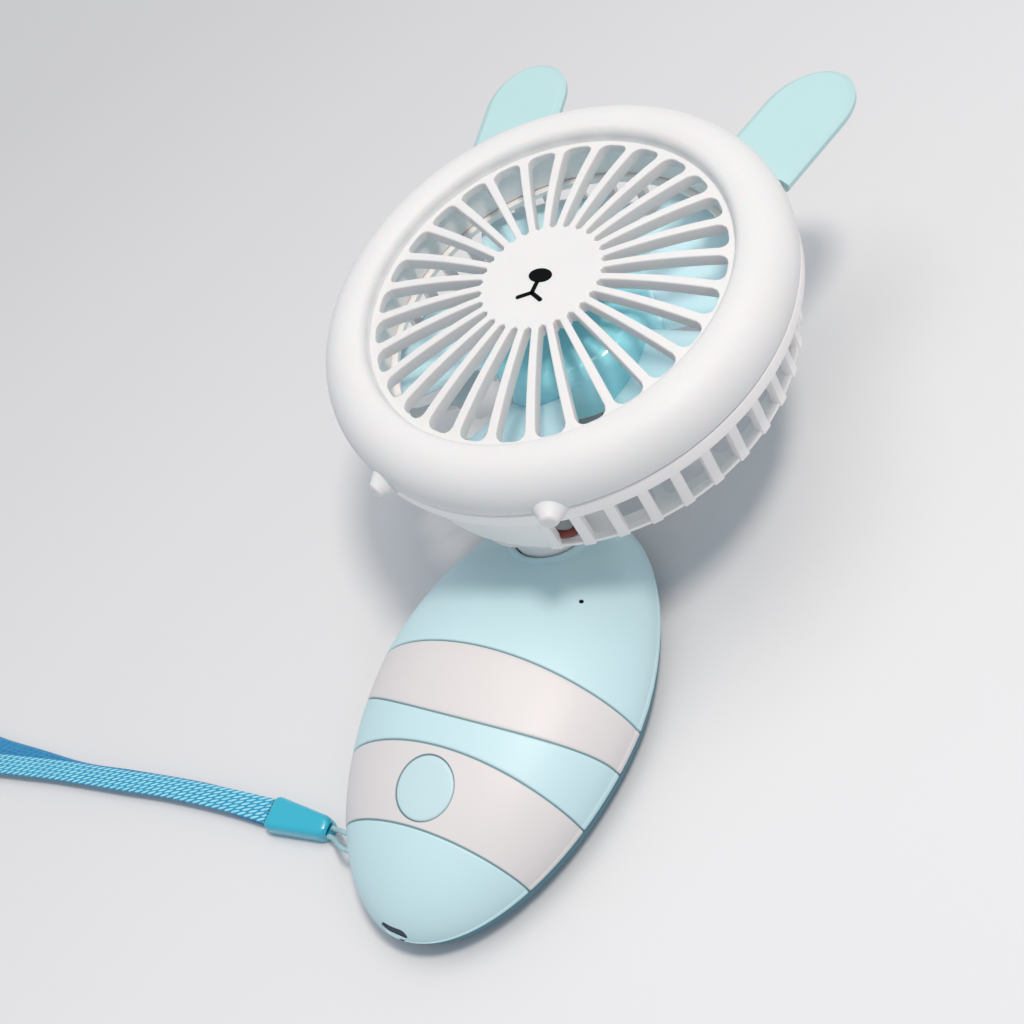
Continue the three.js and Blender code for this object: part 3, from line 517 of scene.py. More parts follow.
class Draft:
    """Collects the corners and faces of one mesh."""

    def __init__(self) -> None:
        """Starts empty."""
        self.corners: list[Vector] = []
        self.faces: list[tuple[int, ...]] = []

    def row(self, places: Iterable[Place]) -> list[int]:
        """Adds corners.

        Args:
            places: Where they are.

        Returns:
            Their numbers.
        """
        first = len(self.corners)
        self.corners.extend(Vector(place) for place in places)
        return list(range(first, len(self.corners)))

    def bridge(self, lower: Sequence[int], upper: Sequence[int], closed: bool = True) -> None:
        """Joins two rows of equal length by four-sided faces.

        Args:
            lower: The first row.
            upper: The second row.
            closed: Whether the rows run round.
        """
        count = len(lower)
        for i in range(count if closed else count - 1):
            j = (i + 1) % count
            self.faces.append((lower[i], lower[j], upper[j], upper[i]))

    def stack(self, rows: Sequence[Iterable[Place]], capped: bool = True) -> list[list[int]]:
        """Adds rows that run round and joins each to the next.

        Args:
            rows: The rows, of equal length.
            capped: Whether the first and last rows are closed by a face.

        Returns:
            The numbers of the corners of each row.
        """
        numbers = [self.row(row) for row in rows]
        for lower, upper in zip(numbers, numbers[1:]):
            self.bridge(lower, upper)
        if capped:
            self.faces.append(tuple(reversed(numbers[0])))
            self.faces.append(tuple(numbers[-1]))
        return numbers

    def turn(self, profile: Outline, sides: int, centre: Place) -> None:
        """Adds a body of revolution about a vertical axis.

        Args:
            profile: Radius and height of each point, all round the section; the first and last are joined.
            sides: How many sides it has.
            centre: Where its axis meets height 0.
        """
        rows = [circle(radius, sides, centre[2] + height, centre) for radius, height in profile]
        numbers = self.stack(rows, capped=False)
        self.bridge(numbers[-1], numbers[0])

    def tube(self, inner: float, wall: float, low: float, high: float, sides: int) -> None:
        """Adds an upright tube about the head's axis, with heights from the head's centre."""
        outer = inner + wall
        self.turn([(inner, low), (outer, low), (outer, high), (inner, high)], sides, HEAD_CENTRE)

    def shift(self, away: Vector) -> None:
        """Moves every corner."""
        self.corners = [away + corner for corner in self.corners]

    def build(self, name: str, sharp_degrees: float = 35.0, merge: float = 0.002 * MM) -> bpy.types.Object:
        """Makes the mesh and its object.

        Args:
            name: The piece's name.
            sharp_degrees: Edges that turn more than this stay sharp.
            merge: Corners closer than this become one.

        Returns:
            The object, linked to the scene.
        """
        mesh = bpy.data.meshes.new(name)
        mesh.from_pydata([tuple(corner) for corner in self.corners], [], self.faces)
        shape = bmesh.new()
        shape.from_mesh(mesh)
        bmesh.ops.remove_doubles(shape, verts=shape.verts, dist=merge)
        bmesh.ops.dissolve_degenerate(shape, edges=shape.edges, dist=merge / 10)
        bmesh.ops.recalc_face_normals(shape, faces=shape.faces)
        shape.to_mesh(mesh)
        shape.free()
        smooth(mesh, sharp_degrees)
        piece = bpy.data.objects.new(name, mesh)
        bpy.context.scene.collection.objects.link(piece)
        return piece


def cut(piece: bpy.types.Object, cutter: bpy.types.Object, sharp_degrees: float = 35.0) -> None:
    """Takes a cutter's shape out of a piece, and deletes the cutter.

    Args:
        piece: The piece that is cut.
        cutter: The closed shape that is taken out.
        sharp_degrees: Edges that turn more than this stay sharp.
    """
    modifier = piece.modifiers.new("cut", "BOOLEAN")
    modifier.operation = "DIFFERENCE"
    modifier.solver = "EXACT"
    modifier.object = cutter
    bpy.context.view_layer.update()
    ready = piece.evaluated_get(bpy.context.evaluated_depsgraph_get())
    mesh = bpy.data.meshes.new_from_object(ready)
    piece.modifiers.clear()
    old = piece.data
    mesh.name = old.name
    piece.data = mesh
    bpy.data.meshes.remove(old)
    bpy.data.objects.remove(cutter)
    smooth(mesh, sharp_degrees)


def polish(piece: bpy.types.Object, outward: Callable[[Vector], Vector | None], least: float = 0.94) -> None:
    """Gives a curved surface its own exact normals, so that cuts in it leave no creases.

    Args:
        piece: The piece.
        outward: The surface's normal at a point, or None off the surface.
        least: The least cosine between a face and the normal for the face to belong to the surface.
    """
    mesh = piece.data
    normals = [Vector(corner.vector) for corner in mesh.corner_normals]
    for face in mesh.polygons:
        for loop in face.loop_indices:
            normal = outward(mesh.vertices[mesh.loops[loop].vertex_index].co)
            if normal is not None and normal.dot(face.normal) > least:
                normals[loop] = normal
    mesh.normals_split_custom_set([tuple(normal) for normal in normals])


def drill(x: float, y: float, radius: float, low: float, high: float) -> bpy.types.Object:
    """Builds a round cutter that stands upright.

    Args:
        x: Place across.
        y: Place along.
        radius: Its radius.
        low: Its lower end.
        high: Its upper end.

    Returns:
        The cutter.
    """
    draft = Draft()
    draft.stack([circle(radius, 64, z, (x, y)) for z in (low, high)])
    return draft.build("drill")


def quarter(radius: float, steps: int) -> Outline:
    """Lists a rounded edge, as distances in from its wall and down from its face."""
    return [(radius - x, radius - y) for x, y in arc((0.0, 0.0), radius, 0.0, math.pi / 2, steps)]


def settle(piece: bpy.types.Object, body: Body, finish: Moulded | Metal | Braided, *nodes: str) -> None:
    """Dresses a piece, lets it ride on its body and stand for nodes, and reports it.

    Args:
        piece: The piece.
        body: The body that it moves with.
        finish: Its finish.
        nodes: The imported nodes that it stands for.
    """
    PALETTE.dress(piece, finish)
    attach(piece, body.value)
    if nodes:
        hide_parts(*nodes)
    log.info("piece %s on %s, %d faces", piece.name, body.value, len(piece.data.polygons))


# Handle


@dataclass(frozen=True)
class Groove:
    """A groove across the handle: its middle, and how far it bows at the handle's edge."""

    middle: float
    bow: float


@dataclass(frozen=True)
class Dome:
    """The handle's front as a formula: an egg-shaped outline under an elliptical crown."""

    half_length: float = 51.8 * MM
    half_width: float = 31.8 * MM
    crown: float = 19.4 * MM
    seam: float = 7.0 * MM
    head_power: float = 1.62
    tip_power: float = 2.03
    belly: float = 0.087

    def narrowing(self, place: float) -> float:
        """Share of the full width at a place from -1, the tip, to 1, the head end."""
        power = self.head_power if place > 0 else self.tip_power
        return math.sqrt(max(1 - abs(place) ** power, 0.0))

    def along(self, place: float) -> float:
        """Turns a place into a distance along the handle."""
        return (place + self.belly * (1 - place * place)) * self.half_length

    def place_at(self, distance: float) -> float:
        """Turns a distance along the handle into a place."""
        low, high = -1.0, 1.0
        for _ in range(50):
            middle = (low + high) / 2
            low, high = (middle, high) if self.along(middle) < distance else (low, middle)
        return low

    def height(self, x: float, y: float) -> float:
        """Height of the surface over a point of the table."""
        size = self.narrowing(self.place_at(y))
        across = min(abs(x) / max(self.half_width * size, 1e-9), 1.0)
        return self.seam + self.crown * size * math.sqrt(1 - across * across)

    def normal(self, point: Vector) -> Vector:
        """Direction square to the surface at a point of it.

        Args:
            point: The point.

        Returns:
            The outward direction.
        """
        place = min(max(self.place_at(point.y), -0.9999), 0.9999)
        power = self.head_power if place > 0 else self.tip_power
        size = max(self.narrowing(place), 1e-6)
        slope = -power * math.copysign(abs(place) ** (power - 1), place) / (2 * size)
        slope /= (1 - 2 * self.belly * place) * self.half_length
        outward = Vector((
            point.x / self.half_width**2,
            -size * slope,
            (point.z - self.seam) / self.crown**2,
        ))
        return outward.normalized()

    def point(self, place: float, angle: float, depth: float = 0.0) -> Vector:
        """A point of the surface, or below it.

        Args:
            place: From -1, the tip, to 1, the head end.
            angle: From 0, the right edge, to half a turn, the left edge.
            depth: How far below the surface.

        Returns:
            The point.
        """
        size = self.narrowing(place)
        point = Vector((
            self.half_width * size * math.cos(angle),
            self.along(place),
            self.seam + self.crown * size * math.sin(angle),
        ))
        if depth == 0:
            return point
        return point - self.normal(point) * depth

    def crossing(self, groove: Groove, angle: float, shift: float) -> float:
        """Place where a line of the dome meets a groove.

        Args:
            groove: The groove.
            angle: The line's angle across the dome.
            shift: How far along the handle from the groove's middle line.

        Returns:
            The place from -1 to 1.
        """
        low, high = -1.0, 1.0
        for _ in range(40):
            middle = (low + high) / 2
            across = self.narrowing(middle) * math.cos(angle)
            reach = groove.middle + groove.bow * across * across + shift
            low, high = (middle, high) if self.along(middle) < reach else (low, middle)
        return low

    def outward(self, point: Vector) -> Vector | None:
        """Takes the dome's normal where a point lies on it.

        Args:
            point: The point.

        Returns:
            The normal, or None where the point is off the dome or on its seam.
        """
        near = 0.02 * MM
        if point.z < self.seam + near or abs(self.height(point.x, point.y) - point.z) > near:
            return None
        return self.normal(point)


DOME = Dome()


@dataclass
class HandleFront:
    """The five coloured pieces of the handle's front, its button and its openings."""

    upper: Groove = Groove(6.6 * MM, -3.0 * MM)
    middle: Groove = Groove(-9.6 * MM, 3.4 * MM)
    lower: Groove = Groove(-16.2 * MM, -4.3 * MM)
    tip: Groove = Groove(-32.9 * MM, -3.5 * MM)
    groove_width: float = 0.32 * MM
    wall: float = 1.6 * MM
    edge_round: float = 0.35 * MM
    columns: int = 96
    rows: int = 20
    button_y: float = -24.9 * MM
    button_radius: float = 6.6 * MM
    button_gap: float = 0.28 * MM
    button_depth: float = 3.0 * MM
    button_round: float = 0.4 * MM
    light_x: float = 15.2 * MM
    light_y: float = 23.2 * MM
    light_radius: float = 0.5 * MM
    notch_radius: float = 7.5 * MM
    lip_radius: float = 8.0 * MM
    lip_depth: float = 0.5 * MM
    bead_width: float = 1.9 * MM
    bead_height: float = 0.85 * MM
    bead_reach: float = 9.0 * MM
    bead_section: tuple[tuple[float, float], ...] = (
        (0.02, -1.6), (0.02, 0.1), (0.1, 0.55), (0.26, 0.9), (0.46, 1.0), (0.66, 0.82), (0.84, 0.36),
        (1.0, -0.12), (1.0, -1.6),
    )
    port_x: float = -1.3 * MM
    port_z: float = 9.0 * MM
    port_half_width: float = 3.3 * MM
    port_half_height: float = 1.5 * MM
    port_grow: float = 0.1 * MM
    port_sink: float = 0.28 * MM
    lip_degrees: tuple[float, float] = (2.7, 3.9)
    lip_reach: float = 0.22 * MM
    bed_depth: float = 0.34 * MM
    bed_half: float = 0.7 * MM
    bed_clearance: float = 0.06 * MM

    def shell(self, name: str, head_side: Groove | None, tip_side: Groove | None) -> bpy.types.Object:
        """Builds one band of the front as a closed shell with rounded edges at its grooves.

        Args:
            name: The piece's name.
            head_side: The groove toward the head, or None at the head end.
            tip_side: The groove toward the tip, or None at the tip.

        Returns:
            The piece.
        """
        draft = Draft()
        rounding = quarter(self.edge_round, 3)
        columns = []
        for angle in self.column_angles():
            lower = self.edge_places(tip_side, angle, 1, rounding)
            upper = self.edge_places(head_side, angle, -1, rounding)
            start = lower[-1][0] if lower else -1.0
            end = upper[-1][0] if upper else 1.0
            outer = list(lower)
            for j in range(1, self.rows):
                outer.append((self.spaced(start, end, j / self.rows, bool(lower), bool(upper)), 0.0))
            if not lower:
                outer.insert(0, (-1.0, 0.0))
            if not upper:
                outer.append((1.0, 0.0))
            outer.extend(reversed(upper))
            inner = [(place, self.wall) for place, _ in reversed(outer[:: 2 if len(outer) % 2 else 1])]
            lip = self.lip(angle)
            columns.append([DOME.point(place, angle, depth - lip) for place, depth in outer + inner])
        draft.stack(columns)
        return draft.build(name)

    def column_angles(self) -> list[float]:
        """Lists the lines across the dome, closer where the lip above the seam ends."""
        low, high = (math.radians(degrees) for degrees in self.lip_degrees)
        even = [math.pi * i / self.columns for i in range(self.columns + 1)]
        inside = [angle for angle in even if high < angle < math.pi - high]
        ends = [0.0, low / 2, low * 0.9, low, (low + high) / 2, high]
        return ends + inside + [math.pi - angle for angle in reversed(ends)]

    def lip(self, angle: float) -> float:
        """How far the thin lip above the seam stands out at an angle across the dome."""
        low, high = (math.radians(degrees) for degrees in self.lip_degrees)
        up = min(angle, math.pi - angle)
        return self.lip_reach * min(max((high - up) / (high - low), 0.0), 1.0)

    def edge_places(
        self, groove: Groove | None, angle: float, side: int, rounding: Outline
    ) -> Outline:
        """Lists the rounded edge of a band beside its groove.

        Args:
            groove: The groove, or None where the band has none.
            angle: The line's angle across the dome.
            side: 1 where the band lies on the head side of the groove, -1 on the other.
            rounding: The rounded edge's points.

        Returns:
            Place and depth of each point, from the groove's wall to the surface.
        """
        if groove is None:
            return []
        half = self.groove_width / 2
        wall = (DOME.crossing(groove, angle, side * half), self.wall * 0.8)
        return [wall] + [
            (DOME.crossing(groove, angle, side * (half + inset)), depth) for inset, depth in rounding
        ]

    @staticmethod
    def spaced(start: float, end: float, share: float, edged_start: bool, edged_end: bool) -> float:
        """Spaces rows evenly, or closer toward an end of the handle, where the outline turns fast.

        Args:
            start: The first place.
            end: The last place.
            share: How far between them.
            edged_start: Whether the first place is at a groove.
            edged_end: Whether the last place is at a groove.

        Returns:
            The place.
        """
        if edged_start and edged_end:
            return start + (end - start) * share
        if edged_start:
            return end - (end - start) * (1 - share) ** 2
        return start + (end - start) * share**2

    def notch_cutter(self) -> bpy.types.Object:
        """Builds the shape of the neck's notch, which is open toward the head end and has a sloped lip."""
        draft = Draft()
        beyond = DOME.half_length + self.notch_radius

        def outline(radius: float) -> Outline:
            """Lists the notch's plan at one radius."""
            straight = 24
            left = [(-radius, beyond + (HINGE.y - beyond) * i / straight) for i in range(straight)]
            right = [(radius, HINGE.y + (beyond - HINGE.y) * i / straight) for i in range(1, straight + 1)]
            return left + arc((0.0, HINGE.y), radius, math.pi, 2 * math.pi, 32) + right

        top = DOME.seam + DOME.crown + self.lip_radius
        narrow = outline(self.notch_radius)
        wide = outline(self.lip_radius)
        wider = outline(self.lip_radius + 2 * self.lip_depth)
        floor = DOME.seam - self.wall

        def surface(x: float, y: float) -> float:
            """Height of the dome, carried on flat past its head end."""
            return DOME.height(x, min(y, DOME.half_length * 0.999))

        draft.stack([
            [(x, y, floor) for x, y in narrow],
            [(x, y, max(surface(x, y) - self.lip_depth, DOME.seam)) for x, y in narrow],
            *(
                [(x, y, surface(x, y) - self.lip_depth * (1 - share) ** 2) for x, y in outline(
                    self.notch_radius + (self.lip_radius - self.notch_radius) * share
                )]
                for share in (0.25, 0.5, 0.75)
            ),
            [(x, y, surface(x, y)) for x, y in wide],
            [(x, y, surface(x, y) + self.lip_depth * 2) for x, y in wider],
            [(x, y, top) for x, y in wider],
        ])
        return draft.build("notch_cutter")

    def build_bead(self) -> bpy.types.Object:
        """Builds the rounded bead that runs round the neck's notch."""
        draft = Draft()
        straight = 8
        places = [(-1.0, self.bead_reach * (1 - i / straight), 0.0) for i in range(straight)]
        places += [(x, 0.0, y) for x, y in arc((0.0, 0.0), 1.0, math.pi, 2 * math.pi, 48)]
        places += [(1.0, self.bead_reach * i / straight, 0.0) for i in range(1, straight + 1)]
        rows = []
        for across, ahead, turned in places:
            row = []
            for share, rise in self.bead_section:
                radius = self.notch_radius + self.bead_width * share
                x, y = radius * across, HINGE.y + ahead + radius * turned
                row.append((x, y, DOME.height(x, y) + self.bead_height * rise))
            rows.append(row)
        draft.stack(rows)
        return draft.build("notch_bead")

    def port_outline(self, grow: float) -> Outline:
        """Lists the charging port's outline, a slot with round ends.

        Args:
            grow: How much larger than the port it is, all round.

        Returns:
            Place across and height of each point.
        """
        end = self.port_half_height + grow
        straight = self.port_half_width - self.port_half_height
        places = []
        for side in (1, -1):
            middle = (self.port_x + side * straight, self.port_z)
            places += arc(middle, side * end, -math.pi / 2, math.pi / 2, 12)
        return places

    def port_cutter(self) -> bpy.types.Object:
        """Builds the charging port's opening as a bar through the tip."""
        draft = Draft()
        ends = (-DOME.half_length - self.wall, -DOME.half_length + 5 * self.wall)
        draft.stack([[(x, y, z) for x, z in self.port_outline(0.0)] for y in ends])
        return draft.build("port_cutter")

    def button_circle(self, radius: float, depth: float) -> list[Place]:
        """Lists a circle round the button's middle, at a depth below the dome."""
        flat = circle(radius, 96, 0.0, (0.0, self.button_y))
        return [(x, y, DOME.height(x, y) - depth) for x, y, _ in flat]

    def build_button(self) -> bpy.types.Object:
        """Builds the button, whose top follows the dome and whose edge is rounded."""
        draft = Draft()
        radii = [(self.button_radius, self.button_depth)]
        radii += [(self.button_radius - inset, depth) for inset, depth in quarter(self.button_round, 4)]
        rings = 8
        flat = self.button_radius - self.button_round
        radii += [(flat * (1 - i / rings), 0.0) for i in range(1, rings)]
        draft.stack([self.button_circle(radius, depth) for radius, depth in radii])
        return draft.build("button_top")

    def build_beds(self) -> bpy.types.Object:
        """Builds the thin beds that close the grooves, and the one round the button, a little way down."""
        draft = Draft()
        low, high = self.bed_depth, self.wall * 0.7
        for groove in (self.upper, self.middle, self.lower, self.tip):
            rows = []
            for angle in self.column_angles():
                ends = [DOME.crossing(groove, angle, side * self.bed_half) for side in (-1, 1)]
                rows.append([
                    DOME.point(ends[0], angle, low), DOME.point(ends[1], angle, low),
                    DOME.point(ends[1], angle, high), DOME.point(ends[0], angle, high),
                ])
            draft.stack(rows)
        near, far = self.button_radius + self.bed_clearance, self.button_radius + self.bed_half
        section = ((near, low), (far, low), (far, high), (near, high))
        numbers = draft.stack([self.button_circle(radius, depth) for radius, depth in section], capped=False)
        draft.bridge(numbers[-1], numbers[0])
        return draft.build("groove_beds")

    def build_port(self) -> bpy.types.Object:
        """Builds a dark navy sheet a little way inside the charging port's opening: painted shade for the
        depth of the opening, in the socket's navy.
        """
        draft = Draft()
        places = self.port_outline(self.port_grow)
        draft.stack([
            [(x, self.tip_y(x, z) + sink, z) for x, z in places]
            for sink in (self.port_sink, self.port_sink + 2 * self.wall)
        ])
        return draft.build("port_shade_sheet")

    def tip_y(self, x: float, z: float) -> float:
        """Finds where the dome's tip side lies at a place across and a height."""
        low, high = -DOME.half_length, 0.0
        for _ in range(40):
            middle = (low + high) / 2
            low, high = (middle, high) if DOME.height(x, middle) < z else (low, middle)
        return high

    def build(self) -> None:
        """Builds every piece of the front and dresses it."""
        top = self.shell("top_band", None, self.upper)
        cut(top, self.notch_cutter())
        cut(top, drill(self.light_x, self.light_y, self.light_radius, DOME.seam, 2 * DOME.crown))
        polish(top, DOME.outward)
        settle(top, Body.HANDLE, LIGHT_BLUE, "top_shell")
        upper = self.shell("upper_band", self.upper, self.middle)
        settle(upper, Body.HANDLE, WARM_WHITE, "upper_white_band")
        middle = self.shell("middle_band", self.middle, self.lower)
        settle(middle, Body.HANDLE, LIGHT_BLUE, "middle_blue_band")
        low = self.shell("lower_band", self.lower, self.tip)
        reach = self.button_radius + self.button_gap
        cut(low, drill(0.0, self.button_y, reach, DOME.seam, 2 * DOME.crown))
        polish(low, DOME.outward)
        settle(low, Body.HANDLE, WARM_WHITE, "lower_white_band")
        tip = self.shell("tip_band", self.tip, None)
        cut(tip, self.port_cutter())
        polish(tip, DOME.outward)
        settle(tip, Body.HANDLE, LIGHT_BLUE, "tip_shell")
        settle(self.build_button(), Body.BUTTON, BUTTON_BLUE, "button_cap")
        settle(self.build_beds(), Body.HANDLE, GROOVE_TEAL)
        # a dark sheet in the port's opening, painted shade for its depth
        settle(self.build_port(), Body.HANDLE, PORT_NAVY)
        settle(self.build_bead(), Body.HANDLE, LIGHT_BLUE)


@dataclass
class HandleBack:
    """The back shell that the handle lies on."""

    rim_z: float = 6.85 * MM
    rim_inset: float = 0.35 * MM
    base_inset: float = 7.5 * MM
    wall: float = 1.6 * MM
    columns: int = 96
    rows: int = 12
    side_powers: tuple[float, float] = (1.15, 1.1)
    screw_radius: float = 2.3 * MM
    screw_depth: float = 2.3 * MM

    def ring(self, inset: float, z: float) -> list[Vector]:
        """Lists the handle's outline, drawn inward, at one height.

        Args:
            inset: How far inward.
            z: The height.

        Returns:
            The points.
        """
        points = []
        for i in range(2 * self.columns):
            turn = math.pi * i / self.columns
            place = -math.cos(turn)
            size = DOME.narrowing(place) * math.copysign(1.0, math.sin(turn))
            along = (place + DOME.belly * (1 - place * place)) * (DOME.half_length - inset)
            points.append(Vector(((DOME.half_width - inset) * size, along, z)))
        return points

    def profile(self, shift: float, lowest: float) -> Outline:
        """Lists the side of the shell from its rim to its floor.

        Args:
            shift: How much further inward than the outer side.
            lowest: Height of the floor.

        Returns:
            Inset and height of each row.
        """
        places = []
        for i in range(self.rows + 1):
            turn = math.pi / 2 * i / self.rows
            inward = (1 - math.cos(turn)) ** self.side_powers[0]
            upward = (1 - math.sin(turn)) ** self.side_powers[1]
            inset = self.rim_inset + shift + (self.base_inset - self.rim_inset) * inward
            places.append((inset, lowest + (self.rim_z - lowest) * upward))
        return places

    def build(self) -> None:
        """Builds the shell with its screw recesses and dresses it."""
        draft = Draft()
        rows = [self.ring(inset, z) for inset, z in reversed(self.profile(self.wall, self.wall))]
        rows += [self.ring(inset, z) for inset, z in self.profile(0.0, 0.0)]
        draft.stack(rows)
        shell = draft.build("back_half", 40.0)
        for index in range(1, 5):
            low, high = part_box(f"handle_screw_{index}")
            x, y = (low[0] + high[0]) / 2, (low[1] + high[1]) / 2
            cut(shell, drill(x, y, self.screw_radius, -self.wall, self.screw_depth))
        # the back shell's finish is teal darkened as painted shade
        settle(shell, Body.HANDLE, SHADED_BACK_TEAL, "back_shell")


# Head


@dataclass
class SlottedDisc:
    """A plate with a ring of rounded slots, made of equal sectors."""

    count: int
    inner: float
    outer: float
    rib_inner: float
    rib_outer: float
    corner: float
    plate_inner: float
    plate_outer: float
    top: Callable[[float], float]
    under: Callable[[float], float]
    start_degrees: float = 90.0
    rim: float = 0.4 * MM
    side_steps: int = 12
    inner_steps: int = 2
    middle_steps: int = 2
    corner_degrees: tuple[float, ...] = (60.0, 30.0, 0.0)
    skipped: frozenset[int] = frozenset()

    @property
    def outer_steps(self) -> int:
        """How many steps a sector's outer arc takes."""
        return 2 * len(self.corner_degrees) + self.middle_steps

    @property
    def first_angle(self) -> float:
        """Angle of the first sector's border."""
        return math.radians(self.start_degrees) - math.pi / self.count

    def half_width(self, x: float) -> float:
        """Half the slot's width at a distance from the centre."""
        share = (x - self.inner) / (self.outer - self.inner)
        rib = self.rib_inner + (self.rib_outer - self.rib_inner) * share
        turn = math.pi / self.count
        return math.tan(turn) * x - rib / 2 / math.cos(turn)

    def slot_loop(self, grow: float) -> Outline:
        """Lists a slot's outline, grown by a distance.

        Args:
            grow: The distance.

        Returns:
            Distance out and distance aside of each point.
        """
        corner = self.corner + grow
        shoulder = self.outer + grow - corner
        nose = min(self.half_width(self.inner), self.corner)
        start = self.inner - grow + nose
        side = []
        for i in range(self.side_steps + 1):
            x = start + (shoulder - start) * i / self.side_steps
            side.append((x, self.half_width(x) + grow))
        centre = side[-1][1] - corner
        arc = []
        for degrees in self.corner_degrees:
            angle = math.radians(degrees)
            arc.append((shoulder + corner * math.cos(angle), centre + corner * math.sin(angle)))
        across = [
            (shoulder + corner, centre * (2 * i / self.middle_steps - 1)) for i in range(1, self.middle_steps)
        ]
        loop = [(x, -y) for x, y in side] + [(x, -y) for x, y in arc] + across
        loop += list(reversed(arc)) + list(reversed(side))
        width = side[0][1]
        for i in range(1, self.inner_steps):
            loop.append((start - nose, width * (1 - 2 * i / self.inner_steps)))
        return loop

    def sector_loop(self) -> Outline:
        """Lists a sector's border, point for point with a slot's outline."""
        turn = math.pi / self.count
        radii = [
            self.plate_inner + (self.plate_outer - self.plate_inner) * i / self.side_steps
            for i in range(self.side_steps + 1)
        ]
        polar = [(radius, -turn) for radius in radii]
        for i in range(1, self.outer_steps):
            polar.append((self.plate_outer, turn * (2 * i / self.outer_steps - 1)))
        polar += [(radius, turn) for radius in reversed(radii)]
        for i in range(1, self.inner_steps):
            polar.append((self.plate_inner, turn * (1 - 2 * i / self.inner_steps)))
        return [(radius * math.cos(angle), radius * math.sin(angle)) for radius, angle in polar]

    def add_to(self, draft: Draft) -> None:
        """Adds the plate's sectors to a draft.

        Args:
            draft: The draft.
        """
        border = self.sector_loop()
        for index in range(self.count):
            turn = Matrix.Rotation(math.radians(self.start_degrees + 360 * index / self.count), 3, "Z")

            def place(loop: Outline, height: Callable[[float], float], drop: float) -> list[int]:
                """Adds a loop at the plate's own height."""
                return draft.row(turn @ Vector((x, y, height(math.hypot(x, y)) - drop)) for x, y in loop)

            over = place(border, self.top, 0.0)
            below = place(border, self.under, 0.0)
            if index in self.skipped:
                draft.faces.append(tuple(over))
                draft.faces.append(tuple(reversed(below)))
                continue
            row = place(self.slot_loop(0.0), self.under, 0.0)
            draft.bridge(below, row)
            for inset, depth in quarter(self.rim, 3):
                upper = place(self.slot_loop(inset), self.top, depth)
                draft.bridge(row, upper)
                row = upper
            draft.bridge(row, over)


